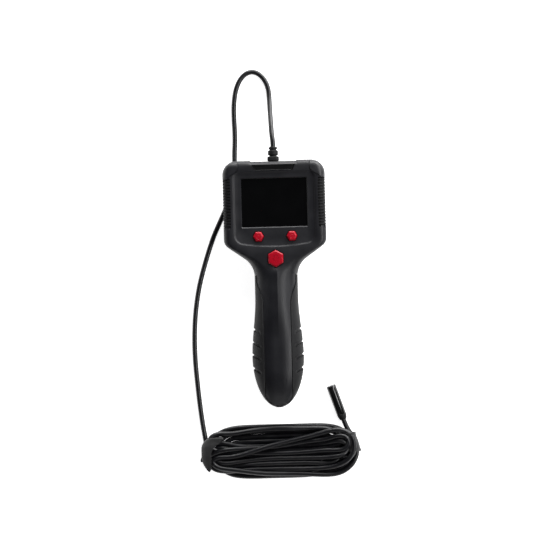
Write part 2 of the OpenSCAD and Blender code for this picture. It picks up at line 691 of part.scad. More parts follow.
module hank_strap() {
    color("black") intersection() {
        strap_band(strap_x, 12, 0);
        linear_extrude(height = hank_h) hank_outline(0);
    }
}

module end_strap() {
    color("black") translate([hank_x - 7.9, -141.9, 0]) difference() {
        cube([7.9, 15.8, hank_h]);
        translate([1.45, -1, 1.95]) cube([4.9, 20, hank_h - 3.5]);
    }
}

// ---------------------------------------------------------------- camera head

module at_probe() {
    translate(probe_at) rotate([0, 0, probe_turn]) rotate([-90, 0, 0]) children();
}

module probe_sleeve() {
    color([0.12, 0.12, 0.13]) at_probe() difference() {
        cylinder(d = probe_d, h = probe_len, $fn = 64);
        translate([0, 0, -1]) cylinder(d = probe_d - 1, h = probe_len + 2, $fn = 64);
    }
}

module probe_boot() {
    color(soft_black) at_probe() difference() {
        union() {
            rotate_extrude($fn = 64)
                polygon([[0, -4.4], [2.9, -4.4], [3.6, -2.2], [probe_d / 2 - 0.1, 0], [0, 0]]);
            cylinder(d = probe_d - 1.04, h = 4, $fn = 64);
        }
        translate([0, 0, -9]) cylinder(d = cable_d + 0.04, h = 20, $fn = 32);
    }
}

module probe_window() {
    color([0.6, 0.65, 0.7]) at_probe() translate([0, 0, probe_len - 1.2])
        cylinder(d = probe_d - 1.04, h = 1, $fn = 64);
}

module led_board() {
    color("white") at_probe() translate([0, 0, probe_len - 3.2]) difference() {
        cylinder(d = probe_d - 1.04, h = 0.8, $fn = 64);
        translate([0, 0, -1]) cylinder(d = 3.4, h = 3, $fn = 32);
    }
}

module probe_leds() {
    color([1, 0.95, 0.7]) at_probe() for (i = [0:5])
        rotate([0, 0, 60 * i]) translate([2.5, 0, probe_len - 2.38]) cylinder(d = 1, h = 0.9, $fn = 24);
}

module image_sensor() {
    color([0.1, 0.1, 0.1]) at_probe() translate([-1.9, -1.9, 8]) cube([3.8, 3.8, probe_len - 11.4]);
}

module sensor_lens() {
    color([0.1, 0.12, 0.2]) at_probe() translate([0, 0, probe_len - 3.38])
        cylinder(d = 3.2, h = 2, $fn = 32);
}

rear_shell();
front_shell();
battery_door();
left_grip();
right_grip();
left_corner_guard();
right_corner_guard();
left_side_ribs();
right_side_ribs();
name_plate();
screen_lens();
lens_gasket();
lcd_panel();
lcd_frame();
lcd_ribbon();
main_board();
board_chips();
board_plugs();
board_screws();
tact_switches();
left_button();
right_button();
power_button();
shell_screws();
battery_cells();
bay_roof();
battery_springs();
contact_plates();
battery_wires();
inner_cable();
cable_clamp();
clamp_screws();
cable_boot();
cable_lead();
cable_hank();
cable_tail();
hank_strap();
end_strap();
probe_sleeve();
probe_boot();
probe_window();
led_board();
probe_leds();
image_sensor();
sensor_lens();
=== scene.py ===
"""Looks of a hand-held inspection camera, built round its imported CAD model.

The unit lies on its back on a pale table: a screen head with three red
buttons, a long grip, the probe cable in a strapped hank and the camera head.
Shapes are worked out in millimetres in the CAD frame and written in metres.
"""

import json
import math

import bmesh
import bpy
import numpy as np
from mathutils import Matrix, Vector
from mathutils.geometry import delaunay_2d_cdt


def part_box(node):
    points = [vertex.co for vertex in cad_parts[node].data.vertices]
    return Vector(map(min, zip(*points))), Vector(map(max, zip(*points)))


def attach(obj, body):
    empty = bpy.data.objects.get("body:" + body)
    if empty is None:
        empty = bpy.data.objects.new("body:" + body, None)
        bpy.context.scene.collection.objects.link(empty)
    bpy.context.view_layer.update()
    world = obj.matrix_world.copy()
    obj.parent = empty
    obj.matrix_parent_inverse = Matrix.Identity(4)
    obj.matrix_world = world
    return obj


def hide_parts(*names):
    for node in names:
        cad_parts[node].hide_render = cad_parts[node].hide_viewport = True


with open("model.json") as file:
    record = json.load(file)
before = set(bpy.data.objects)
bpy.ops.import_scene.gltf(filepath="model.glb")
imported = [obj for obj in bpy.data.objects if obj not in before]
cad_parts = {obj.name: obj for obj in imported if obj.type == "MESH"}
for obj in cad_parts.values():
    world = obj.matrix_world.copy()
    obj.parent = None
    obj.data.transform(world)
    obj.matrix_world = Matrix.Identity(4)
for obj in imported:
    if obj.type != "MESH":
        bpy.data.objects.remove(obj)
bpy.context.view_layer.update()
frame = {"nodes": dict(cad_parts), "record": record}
MM = 0.001

# ------------------------------------------------------------ camera

CAMERA_HEIGHT = 1.2
camera_data = bpy.data.cameras.new("camera")
camera_data.sensor_width = 36
camera_data.lens = 93
camera_data.clip_start = 0.05
camera_data.clip_end = 20
camera = bpy.data.objects.new("camera", camera_data)
camera.location = (-0.00095, 0.00772, CAMERA_HEIGHT)
camera.rotation_euler = (0, 0, math.radians(-1.5))
bpy.context.scene.collection.objects.link(camera)
bpy.context.scene.camera = camera
bpy.context.scene.view_settings.view_transform = "Standard"


# ------------------------------------------------------------ small helpers

def mix(a, b, t):
    """From a at 0 to b at 1."""
    return a + (b - a) * t


def ramp(a, b, v):
    """0 before a and 1 after b, smooth between."""
    t = np.clip((v - a) / (b - a), 0, 1)
    return t * t * (3 - 2 * t)


def arc(r, v):
    """Height of a circle of radius r at v from its middle, 0 outside it."""
    return np.sqrt(np.maximum(0.0, r * r - v * v))


def node_box(name):
    """Lowest and highest corner of a CAD node, in millimetres."""
    low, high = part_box(name)
    return np.array(low) / MM, np.array(high) / MM


def add_mesh(name, points, faces, sharp=35):
    """A mesh object from points in millimetres, smooth up to the sharp angle.

    Its faces need only agree with each other: they are turned outwards here.
    """
    mesh = bpy.data.meshes.new(name)
    mesh.from_pydata((np.asarray(points, float) * MM).tolist(), [], faces)
    mesh.validate()
    shape = bmesh.new()
    shape.from_mesh(mesh)
    if shape.calc_volume(signed=True) < 0:
        mesh.flip_normals()
    shape.free()
    mesh.update()
    mesh.shade_smooth()
    mesh.set_sharp_from_angle(angle=math.radians(sharp))
    obj = bpy.data.objects.new(name, mesh)
    bpy.context.scene.collection.objects.link(obj)
    return obj


def settle(obj, body, slot, replaces=()):
    """Joins a finished piece to its body, its finish and the nodes it stands for."""
    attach(obj, body)
    obj.data.materials.clear()
    obj.data.materials.append(MATERIALS[slot])
    if replaces:
        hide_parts(*replaces)
    return obj


def inside(points, polygon):
    """Which of the points lie in a closed polygon."""
    x, y = points[:, 0], points[:, 1]
    result = np.zeros(len(points), bool)
    for (x0, y0), (x1, y1) in zip(polygon, np.roll(polygon, -1, axis=0)):
        if y0 != y1:
            result ^= ((y0 > y) != (y1 > y)) & (x < (x1 - x0) * (y - y0) / (y1 - y0) + x0)
    return result


def edge_distance(x, y, polygon):
    """Distance to a closed polygon's edge, negative inside it."""
    points = np.stack([x, y], 1)
    best = np.full(len(points), 1e9)
    for a, b in zip(polygon, np.roll(polygon, -1, axis=0)):
        along = b - a
        t = np.clip(((points - a) @ along) / max(along @ along, 1e-12), 0, 1)
        best = np.minimum(best, np.linalg.norm(points - a - t[:, None] * along, axis=1))
    return np.where(inside(points, polygon), -best, best)


def grown(polygon, distance):
    """A counter-clockwise polygon moved outwards, with mitred corners."""
    p = np.asarray(polygon, float)
    before, after = p - np.roll(p, 1, axis=0), np.roll(p, -1, axis=0) - p
    n0 = np.stack([before[:, 1], -before[:, 0]], 1) / np.linalg.norm(before, axis=1)[:, None]
    n1 = np.stack([after[:, 1], -after[:, 0]], 1) / np.linalg.norm(after, axis=1)[:, None]
    n = n0 + n1
    return p + distance * n / np.maximum(0.3, (n * n0).sum(1))[:, None]


def rounded_polygon(corners, radius, steps=5):
    """A counter-clockwise polygon with round corners."""
    p = np.asarray(corners, float)
    out = []
    for a, b, c in zip(np.roll(p, 1, axis=0), p, np.roll(p, -1, axis=0)):
        u, v = (a - b) / np.linalg.norm(a - b), (c - b) / np.linalg.norm(c - b)
        half = math.acos(np.clip(u @ v, -1, 1)) / 2
        bisector = (u + v) / np.linalg.norm(u + v)
        centre = b + bisector * radius / math.sin(half)
        start, end = b + u * radius / math.tan(half), b + v * radius / math.tan(half)
        for t in np.linspace(0, 1, steps):
            q = mix(start, end, t) - centre
            out.append(centre + q / np.linalg.norm(q) * radius)
    return np.array(out)


def rectangle(x0, y0, x1, y1):
    return [(x0, y0), (x1, y0), (x1, y1), (x0, y1)]


def hexagon(x, y, d, turn):
    """A hexagon, d across its corners."""
    angles = np.radians(turn + 60 * np.arange(6))
    return np.stack([x + d / 2 * np.cos(angles), y + d / 2 * np.sin(angles)], 1)


# ------------------------------------------------------------ mesh builders

def plan_mesh(outline, holes, loops, rows):
    """Flat points and triangles of a plan, counter-clockwise, along all its lines."""
    points, edges = [], []
    for ring in [outline, *holes, *loops]:
        start, count = len(points), len(ring)
        points += [Vector(p) for p in ring]
        edges += [(start + i, start + (i + 1) % count) for i in range(count)]
    for row in rows:
        start = len(points)
        points += [Vector(p) for p in row]
        edges += [(start + i, start + i + 1) for i in range(len(row) - 1)]
    plan = delaunay_2d_cdt(points, edges, [], 0, 1e-4)
    flat = np.array([tuple(v) for v in plan[0]], float)
    cells = np.array([f for f in plan[2] if len(f) == 3], int)
    a, b, c = flat[cells[:, 0]], flat[cells[:, 1]], flat[cells[:, 2]]
    turn = (b[:, 0] - a[:, 0]) * (c[:, 1] - a[:, 1]) - (b[:, 1] - a[:, 1]) * (c[:, 0] - a[:, 0])
    cells[turn < 0] = cells[turn < 0][:, ::-1]
    middle = (a + b + c) / 3
    keep = inside(middle, outline) & (np.abs(turn) > 1e-7)
    for hole in holes:
        keep &= ~inside(middle, hole)
    used, cells = np.unique(cells[keep], return_inverse=True)
    return flat[used], cells.reshape(-1, 3).tolist()


def border_of(cells):
    """The triangles' edges that have a face on one side only."""
    edges = dict.fromkeys((p, q) for cell in cells for p, q in zip(cell, cell[1:] + cell[:1]))
    return [(p, q) for p, q in edges if (q, p) not in edges]


def rim_collar(flat, border, on_rim, ring, rim, lift):
    """Draws a ring of points in by rim and returns its collar and their numbers."""
    inward = np.zeros((len(flat), 2))
    for p, q in border:
        d = flat[q] - flat[p]
        normal = np.array([-d[1], d[0]]) / max(np.linalg.norm(d), 1e-9)
        inward[p] += normal
        inward[q] += normal
    inward /= np.maximum(np.linalg.norm(inward, axis=1), 1e-9)[:, None]
    moving = sorted({p for edge in border for p in edge if on_rim[p]})
    collar = ring[moving] + (0, 0, lift)
    ring[moving, :2] += inward[moving] * rim
    return collar, {p: 2 * len(flat) + i for i, p in enumerate(moving)}


def relief(name, outline, top, bottom, holes=(), loops=(), rows=(), rim=0.0, rim_at="bottom"):
    """A closed solid between two height fields that share one plan.

    The plan is triangulated so that its edges follow the outline, the holes,
    the loops and the open rows. rim is a small bevel round the outline.
    """
    flat, cells = plan_mesh(outline, holes, loops, rows)
    n = len(flat)
    border = border_of(cells)
    upper = np.column_stack([flat, top(flat[:, 0], flat[:, 1])])
    lower = np.column_stack([flat, bottom(flat[:, 0], flat[:, 1])])
    faces = cells + [[n + i for i in cell[::-1]] for cell in cells]
    collar, extra = np.empty((0, 3)), {}
    if rim > 0:
        on_rim = edge_distance(flat[:, 0], flat[:, 1], outline) > -1e-3
        ring, lift = (lower, rim) if rim_at == "bottom" else (upper, -rim)
        collar, extra = rim_collar(flat, border, on_rim, ring, rim, lift)
    for p, q in border:
        if p in extra and q in extra:
            faces.append([q, p, extra[p], extra[q]])
            faces.append([extra[q], extra[p], n + p, n + q])
        else:
            faces.append([q, p, n + p, n + q])
    return add_mesh(name, np.vstack([upper, lower, collar]), faces)


def skin(outer, inner):
    """Points and faces of a closed sheet between two grids of points."""
    m, k = outer.shape[:2]
    points = np.vstack([outer.reshape(-1, 3), inner.reshape(-1, 3)])
    n = m * k
    faces = []
    for i in range(m - 1):
        for j in range(k - 1):
            a = i * k + j
            faces.append([a, a + 1, a + k + 1, a + k])
            faces.append([n + a, n + a + k, n + a + k + 1, n + a + 1])
        a, b = i * k, i * k + k - 1
        faces.append([a, a + k, n + a + k, n + a])
        faces.append([b, n + b, n + b + k, b + k])
    for j in range(k - 1):
        a, b = j, (m - 1) * k + j
        faces.append([a, n + a, n + a + 1, a + 1])
        faces.append([b, b + 1, n + b + 1, n + b])
    return points, faces


def ring_faces(rings, closed):
    """Faces between rings of equal count, and from the last to the first if closed."""
    m, k = len(rings), len(rings[0])
    faces = []
    for i in range(m if closed else m - 1):
        for j in range(k):
            a, b = i * k + j, i * k + (j + 1) % k
            c, d = (i + 1) % m * k + j, (i + 1) % m * k + (j + 1) % k
            faces.append([a, b, d, c])
    return faces


def stack(rings):
    """Points and faces of a closed solid through rings of equal count."""
    m, k = len(rings), len(rings[0])
    caps = [list(range(k))[::-1], [(m - 1) * k + j for j in range(k)]]
    return np.vstack(rings), ring_faces(rings, False) + caps


def tube(rings):
    """Points and faces of a closed tube wall through rings, out and back inside."""
    return np.vstack(rings), ring_faces(rings, True)


def level_rings(outline, levels):
    """Rings of a plan outline at (inset, height) levels, from the lowest up."""
    return [np.column_stack([grown(outline, -inset), np.full(len(outline), z)])
            for inset, z in levels]


def scaled_rings(outline, levels):
    """The same for a regular outline, drawn in about its own middle."""
    middle = outline.mean(axis=0)
    half = -edge_distance(middle[:1], middle[1:], outline)[0]
    return [np.column_stack([middle + (outline - middle) * (1 - inset / half),
                             np.full(len(outline), z)]) for inset, z in levels]


# ------------------------------------------------------------ cable

CABLE_R = 2.1
HANK_MID_Y, HANK_Y0, HANK_Y1, HANK_TOP = -140.7, -163.6, -117.8, 12.6
# The hank's ends are half ellipses from END_X on, each as its side of the
# middle, its reach and its half width for the middle lines of the strands
END_X = 42
HANK_ENDS = ((1, 22.9, 20.8), (-1, 21.8, 19))
# Step between points of the line while it settles, and then in the curve
STEP, FINE_STEP = 2.1, 1.4
SETTLE_ROUNDS, QUICK_ROUNDS, SMOOTH_ROUNDS = 420, 60, 12
# How far strands sink in each round, and how near they touch, in diameters
SINK, TOUCH = 0.03, 0.975
# Points of the line that are held still at its start and at its end
HELD_FIRST, HELD_LAST = 16, 8
LEAD = [
    (0, 102.5, 22.2), (0, 111.1, 22.2), (0, 118, 22), (-0.6, 124, 20.5), (-1, 131, 17.4),
    (-1.3, 138, 13.2), (-1.6, 145, 9), (-1.8, 152, 5.5), (-2, 158, 3.4), (-2.5, 163.5, 2.4),
    (-4, 169, 2.1), (-7.2, 174.4, 2.1), (-11.4, 178, 2.1), (-16.1, 179.3, 2.1),
    (-20.8, 178, 2.1), (-25.4, 173.8, 2.1), (-28.8, 167.4, 2.1), (-30.8, 160, 2.1),
    (-31.9, 150, 2.1), (-32, 140, 2.1), (-31.7, 130, 2.1), (-31.8, 120, 2.1),
    (-32.3, 112, 2.1), (-32.5, 104, 2.1), (-32.6, 96, 2.1), (-33.4, 87, 2.1),
    (-35.6, 78, 2.1), (-38.9, 69, 2.1), (-43, 60, 2.1), (-47.5, 50.6, 2.1),
    (-51.9, 41, 2.1), (-59.2, 20, 2.1), (-64.8, 0, 2.1), (-68.3, -20, 2.1),
    (-69.9, -40, 2.1), (-70, -60, 2.1), (-68.6, -82, 2.1), (-66.8, -102, 2.1),
    (-64.9, -118, 2.3), (-62.8, -130, 3)]
TAIL = [(57.6, -125.6, 4.8), (55.8, -122, 4.4), (54.4, -118.6, 4.1), (53.45, -115.1, 4)]
RUN_X = (-44, -22, 0, 22, 44)
# Each turn: its lower run as (y, z) at RUN_X, its right end as (reach, low y,
# high y, z), its upper run at RUN_X backwards, and its left end in the same way
TURNS = [
    ([(-148.3, 2.1), (-148.3, 2.1), (-148.3, 2.1), (-148.3, 2.1), (-147.6, 2.1)],
     (48.9, -147.6, -132, 2.1),
     [(-132.1, 2.1), (-132.1, 2.1), (-132.1, 2.1), (-133.2, 2.1), (-134.2, 2.1)],
     (-51, -134, -151, 2.1)),
    ([(-152.4, 2.1), (-152.4, 2.1), (-152.4, 2.1), (-151.9, 2.1), (-150.5, 2.1)],
     (53.2, -150, -128, 2.1),
     [(-128.1, 2.1), (-128.1, 2.1), (-128.1, 2.1), (-129, 2.1), (-129.9, 2.1)],
     (-55, -129.5, -154.5, 2.1)),
    ([(-156.2, 2.1), (-156.4, 2.1), (-156.4, 2.1), (-155.8, 2.1), (-153.2, 2.1)],
     (57.3, -151.8, -124, 2.1),
     [(-124, 2.1), (-124, 2.1), (-124, 2.1), (-124.2, 2.1), (-125.6, 2.1)],
     (-58, -126.5, -158, 2.1)),
    ([(-159.6, 2.1), (-161.2, 2.1), (-161.5, 2.1), (-160.6, 2.1), (-157.2, 2.1)],
     (61.4, -154.8, -122, 2.1),
     [(-120.2, 2.1), (-119.9, 2.1), (-119.9, 2.1), (-120.2, 2.1), (-122, 2.1)],
     (-61, -125.5, -146, 4.5)),
    ([(-145.2, 6.3), (-144.2, 2.6), (-144.2, 2.1), (-144.2, 2.1), (-142.8, 6.2)],
     (62.8, -150.5, -131.5, 5.4),
     [(-138.7, 6.2), (-140.1, 2.1), (-140.2, 2.1), (-140.2, 2.1), (-137.8, 6.3)],
     (-58.6, -131.5, -148.5, 6)),
    ([(-147.2, 8.2), (-146.6, 5.7), (-146.6, 5.8), (-147.2, 5.8), (-146.8, 6.5)],
     (60.4, -145.8, -131.5, 6.5),
     [(-134.8, 6.3), (-136.2, 2.1), (-136.2, 2.1), (-136.2, 2.2), (-134.8, 6)],
     (-63, -131.5, -149.5, 7.6)),
    ([(-150.6, 6.2), (-150.3, 5.7), (-150.3, 5.7), (-150.3, 5.7), (-149.4, 6)],
     (56, -151, -123, 6.2),
     [(-124.4, 6.2), (-122.3, 5.8), (-122.1, 5.8), (-124.6, 5.8), (-129.2, 6.4)],
     (-63, -128.5, -146, 7.6)),
    ([(-142.8, 6.6), (-142.9, 5.8), (-142.9, 5.8), (-142.9, 5.8), (-141.8, 6.4)],
     (58.8, -144.5, -127.5, 7.6),
     [(-133.2, 6.4), (-135, 6), (-138.2, 5.9), (-139.4, 6.2), (-140.2, 6.4)],
     (-62, -139.5, -153.5, 8.4)),
    ([(-154.2, 6.2), (-154.2, 5.7), (-154.2, 5.7), (-153.8, 5.7), (-152, 6.2)],
     (59, -150.5, -121.5, 8.6),
     [(-124, 9.2), (-128.2, 9), (-132.9, 8.6), (-138, 9.4), (-144, 10)],
     (-61, -142, -151.5, 9.6))]
LAST_RUN = [(-152.5, 9.4), (-154.5, 9.2), (-156.8, 7.4), (-158.8, 6), (-160.9, 3)]
LAST_TURN = [(53.5, -160.8, 2.1), (60.3, -157.2, 2.1), (64.3, -150.2, 2.1), (64.9, -142, 2.1),
             (64.2, -134, 2.6), (60.8, -129, 4)]


def evenly(points, step):
    """The same line with points a step apart."""
    p = np.asarray(points, float)
    s = np.concatenate([[0], np.cumsum(np.linalg.norm(np.diff(p, axis=0), axis=1))])
    u = np.linspace(0, s[-1], max(2, int(round(s[-1] / step)) + 1))
    return np.stack([np.interp(u, s, p[:, k]) for k in range(3)], 1)


def smooth_line(points, step):
    """A smooth line through the points, with points a step apart."""
    p = np.asarray(points, float)
    p = np.vstack([2 * p[0] - p[1], p, 2 * p[-1] - p[-2]])
    out = []
    for a, b, c, d in zip(p, p[1:], p[2:], p[3:]):
        ta, tb, tc = (max(1e-3, np.linalg.norm(v)) ** 0.5 for v in (b - a, c - b, d - c))
        t = np.linspace(0, 1, 16, endpoint=False)[:, None]
        start = (b - a) / ta - (c - a) / (ta + tb) + (c - b) / tb
        end = (c - b) / tb - (d - b) / (tb + tc) + (d - c) / tc
        start, end = start * tb, end * tb
        out.append(b + start * t + (3 * (c - b) - 2 * start - end) * t ** 2
                   + (2 * (b - c) + start + end) * t ** 3)
    return evenly(np.vstack([*out, p[-2][None]]), step)


def end_turn(turn):
    """Points round one end of the hank, and the x where the straight run stops."""
    reach, y0, y1, z = turn
    side = math.copysign(1, reach)
    half = abs(y1 - y0) / 2
    deep = min(half, abs(reach) - 46) if abs(reach) > 52 else min(half, abs(reach) - 38)
    angles = np.radians((-75, -45, -15, 15, 45, 75))
    x = reach - side * deep * (1 - np.cos(angles))
    y = (y0 + y1) / 2 + (y1 - y0) / 2 * np.sin(angles)
    return [(a, b, z) for a, b in zip(x, y)], abs(reach) - deep


def hank_line():
    """The coiled length as it is wound, before it settles."""
    line = [*LEAD[-3:], (-61.6, -136, 5), (-58.5, -143, 4), (-52, -148.6, 2.4)]
    reach = 60
    for lower, right, upper, left in TURNS:
        round_right, x_right = end_turn(right)
        round_left, x_left = end_turn(left)
        line += [(x, y, z) for x, (y, z) in zip(RUN_X, lower) if -reach + 3 < x < x_right - 3]
        line += round_right
        line += [(x, y, z) for x, (y, z) in zip(RUN_X[::-1], upper)
                 if -x_left + 3 < x < x_right - 3]
        line += round_left
        reach = x_left
    line += [(x, y, z) for x, (y, z) in zip(RUN_X, LAST_RUN) if x > -reach + 3]
    return smooth_line(line + LAST_TURN + TAIL, STEP)


def hold_in(p, free):
    """Keeps the hank's strands on the table and within its outline."""
    x, y = p[:, 0], p[:, 1]
    for side, reach, half in HANK_ENDS:
        u, v = (side * x - END_X) / reach, (y - HANK_MID_Y) / half
        r = np.hypot(u, v)
        out = free & (side * x > END_X) & (r > 1) & ((side > 0) | (y < -130))
        p[out, 0] = side * (END_X + u[out] / r[out] * reach)
        p[out, 1] = HANK_MID_Y + v[out] / r[out] * half
    middle = free & (np.abs(x) <= END_X)
    p[middle, 1] = np.clip(p[middle, 1], HANK_Y0 + CABLE_R, HANK_Y1 - CABLE_R)
    roof = np.minimum(HANK_TOP - CABLE_R, strap_height(x) - 3.5)
    p[free, 2] = np.maximum(CABLE_R, np.minimum(p[free, 2], roof[free]))


def strap_height(x):
    """Height of the wrapped strap's top over the left end, high where there is none."""
    slope = 5.5 + 7.7 * arc(1, np.clip((-53 - x) / 14.2, 0, 1))
    return np.where(x < -47, slope, 99)


def even_bends(p, wound, weight, heat):
    """Takes out bends that the wound line doesn't have, over short and long spans."""
    for span, share in ((1, 0.5), (3, 0.3 * heat), (6, 0.1 * heat)):
        bend = (p[:-2 * span] + p[2 * span:]) / 2 - p[span:-span]
        own = (wound[:-2 * span] + wound[2 * span:]) / 2 - wound[span:-span]
        p[span:-span] += share * (bend - own * (1, 1, 0)) * weight[span:-span]


def push_apart(p, pairs, touch, weight):
    """Moves strands that overlap until they only touch."""
    d = p[pairs[0]] - p[pairs[1]]
    gap = np.linalg.norm(d, axis=1) + 1e-9
    hit = gap < touch
    push = (touch - gap[hit])[:, None] * d[hit] / gap[hit][:, None] / 2
    moved, count = np.zeros_like(p), np.zeros(len(p))
    for ends, sign in ((pairs[0][hit], 1), (pairs[1][hit], -1)):
        np.add.at(moved, ends, sign * push)
        np.add.at(count, ends, 1)
    p += moved / np.maximum(1, count / 2)[:, None] * weight


def keep_steps(p, rest, weight):
    """Brings every step of the line back towards its own length."""
    for odd in (0, 1):
        a, b = p[odd:-1:2], p[odd + 1::2]
        m = min(len(a), len(b))
        a, b = a[:m], b[:m]
        wa, wb = weight[odd:-1:2][:m], weight[odd + 1::2][:m]
        d = b - a
        length = np.linalg.norm(d, axis=1, keepdims=True) + 1e-9
        fix = (1 - rest[odd::2, None][:m] / length) * d / np.maximum(1, wa + wb) * 0.6
        a += fix * wa
        b -= fix * wb


def settled(p, rounds):
    """Strands that lie on each other under their weight, at their own length.

    Each round pulls them down, evens their bends, pushes touching strands a
    diameter apart and brings every step back to its length.
    """
    n = len(p)
    rest = np.linalg.norm(np.diff(p, axis=0), axis=1)
    weight = np.ones((n, 1))
    weight[:HELD_FIRST] = weight[-HELD_LAST:] = 0
    free = weight[:, 0] > 0
    for _ in range(8):
        p[1:-1] += (p[:-2] + p[2:] - 2 * p[1:-1]) / 4 * weight[1:-1]
    wound = p.copy()
    order = np.arange(n)
    far = np.triu(order[None, :] - order[:, None] > 5)
    touch = 2 * CABLE_R * TOUCH
    for turn in range(rounds):
        p[:, 2] -= SINK * weight[:, 0]
        even_bends(p, wound, weight, 0.25 + 0.75 * max(0.0, 1 - turn / (rounds * 0.9)))
        if turn % 4 == 0:
            apart = ((p[:, None] - p[None]) ** 2).sum(-1)
            pairs = np.nonzero(far & (apart < (1.4 * touch) ** 2))
        for _ in range(2):
            push_apart(p, pairs, touch, weight)
            hold_in(p, free)
        for _ in range(2):
            keep_steps(p, rest, weight)
    return p


def cable_curve():
    """The whole cable as one curve, from the boot to the camera head."""
    hank = settled(hank_line(), SETTLE_ROUNDS)
    for _ in range(SMOOTH_ROUNDS):
        hank[1:-1] += (hank[:-2] + hank[2:] - 2 * hank[1:-1]) / 4
    hank[:, 2] = np.maximum(hank[:, 2], CABLE_R)
    lead = smooth_line(LEAD, STEP)
    near = int(np.argmin(np.linalg.norm(lead - hank[0], axis=1)))
    line = smooth_line(evenly(np.vstack([lead[:near], hank]), STEP), FINE_STEP)
    curve = bpy.data.curves.new("cable", "CURVE")
    curve.dimensions = "3D"
    curve.bevel_depth = 1.0
    curve.bevel_resolution = 4
    curve.use_fill_caps = True
    spline = curve.splines.new("POLY")
    spline.points.add(len(line) - 1)
    spline.points.foreach_set("co", np.column_stack([line * MM, np.ones(len(line))]).ravel())
    spline.points.foreach_set("radius", np.full(len(line), CABLE_R * MM))
    obj = bpy.data.objects.new("cable", curve)
    bpy.context.scene.collection.objects.link(obj)
    length = float(np.linalg.norm(np.diff(line, axis=0), axis=1).sum()) * MM
    return obj, length, line


# ------------------------------------------------------------ finishes

def nodes_of(name):
    """A new material with its tree, its surface shader and object coordinates."""
    material = bpy.data.materials.new(name)
    material.use_nodes = True
    tree = material.node_tree
    shader = tree.nodes["Principled BSDF"]
    place = tree.nodes.new("ShaderNodeTexCoord").outputs["Object"]
    return material, tree, shader, place


def noise(tree, place, size, detail=3, stretch=None):
    """Noise whose patches are about size millimetres across."""
    if stretch:
        mapping = tree.nodes.new("ShaderNodeMapping")
        mapping.inputs["Scale"].default_value = stretch
        tree.links.new(place, mapping.inputs["Vector"])
        place = mapping.outputs["Vector"]
    node = tree.nodes.new("ShaderNodeTexNoise")
    node.inputs["Scale"].default_value = 1 / (size * MM)
    node.inputs["Detail"].default_value = detail
    tree.links.new(place, node.inputs["Vector"])
    return node.outputs["Fac"]


def ramped(tree, value, stops):
    """A colour ramp over a value, stops as (position, colour)."""
    node = tree.nodes.new("ShaderNodeValToRGB")
    node.color_ramp.elements[0].position = stops[0][0]
    node.color_ramp.elements[0].color = (*stops[0][1], 1)
    node.color_ramp.elements[1].position = stops[-1][0]
    node.color_ramp.elements[1].color = (*stops[-1][1], 1)
    for position, colour in stops[1:-1]:
        node.color_ramp.elements.new(position).color = (*colour, 1)
    tree.links.new(value, node.inputs["Fac"])
    return node.outputs["Color"]


def ranged(tree, value, low, high):
    """The value's 0.3..0.7 spread over low..high."""
    node = tree.nodes.new("ShaderNodeMapRange")
    node.inputs["From Min"].default_value = 0.3
    node.inputs["From Max"].default_value = 0.7
    node.inputs["To Min"].default_value = low
    node.inputs["To Max"].default_value = high
    tree.links.new(value, node.inputs["Value"])
    return node.outputs["Result"]


def bumped(tree, shader, value, strength, depth):
    """Relief depth millimetres deep, added over any relief the shader has."""
    node = tree.nodes.new("ShaderNodeBump")
    node.inputs["Strength"].default_value = strength
    node.inputs["Distance"].default_value = depth * MM
    tree.links.new(value, node.inputs["Height"])
    if shader.inputs["Normal"].is_linked:
        tree.links.new(shader.inputs["Normal"].links[0].from_socket, node.inputs["Normal"])
    tree.links.new(node.outputs["Normal"], shader.inputs["Normal"])


def moulded(name, colour, tint=0.2, rough=(0.4, 0.5), grain=0.35, depth=0.03, strength=0.4,
            patch=14, coat=0.0, metal=0.0, stretch=None, specular=0.5):
    """A moulded or finished surface: fine grain over slow changes of tone."""
    material, tree, shader, place = nodes_of(name)
    slow = noise(tree, place, patch)
    fine = noise(tree, place, grain, 2, stretch)
    dark = tuple(c * (1 - tint) for c in colour)
    light = tuple(min(1, c * (1 + tint)) for c in colour)
    tree.links.new(ramped(tree, slow, [(0.3, dark), (0.7, light)]), shader.inputs["Base Color"])
    tree.links.new(ranged(tree, slow, *rough), shader.inputs["Roughness"])
    shader.inputs["Metallic"].default_value = metal
    shader.inputs["Coat Weight"].default_value = coat
    shader.inputs["Coat Roughness"].default_value = 0.12
    shader.inputs["Specular IOR Level"].default_value = specular
    bumped(tree, shader, fine, strength, depth)
    return material


def woven(name, colour):
    """Hook and loop tape: crossing threads with a soft nap."""
    material = moulded(name, colour, 0.35, (0.7, 0.9), 0.25, 0.05, 0.8)
    tree = material.node_tree
    shader = tree.nodes["Principled BSDF"]
    place = tree.nodes["Texture Coordinate"].outputs["Object"]
    for axis in ("X", "Y"):
        wave = tree.nodes.new("ShaderNodeTexWave")
        wave.bands_direction = axis
        wave.inputs["Scale"].default_value = 320
        wave.inputs["Distortion"].default_value = 0.6
        tree.links.new(place, wave.inputs["Vector"])
        bumped(tree, shader, wave.outputs["Fac"], 0.5, 0.12)
    shader.inputs["Sheen Weight"].default_value = 0.25
    shader.inputs["Sheen Roughness"].default_value = 0.5
    return material


def tracked(name, colour, copper):
    """Solder mask over copper tracks."""
    material, tree, shader, place = nodes_of(name)
    brick = tree.nodes.new("ShaderNodeTexBrick")
    brick.inputs["Scale"].default_value = 160
    brick.inputs["Mortar Size"].default_value = 0.06
    brick.inputs["Color1"].default_value = (*colour, 1)
    brick.inputs["Color2"].default_value = (*[c * 0.8 for c in colour], 1)
    brick.inputs["Mortar"].default_value = (*copper, 1)
    tree.links.new(place, brick.inputs["Vector"])
    tree.links.new(brick.outputs["Color"], shader.inputs["Base Color"])
    tree.links.new(ranged(tree, noise(tree, place, 8), 0.25, 0.4), shader.inputs["Roughness"])
    bumped(tree, shader, brick.outputs["Fac"], 0.3, 0.04)
    return material


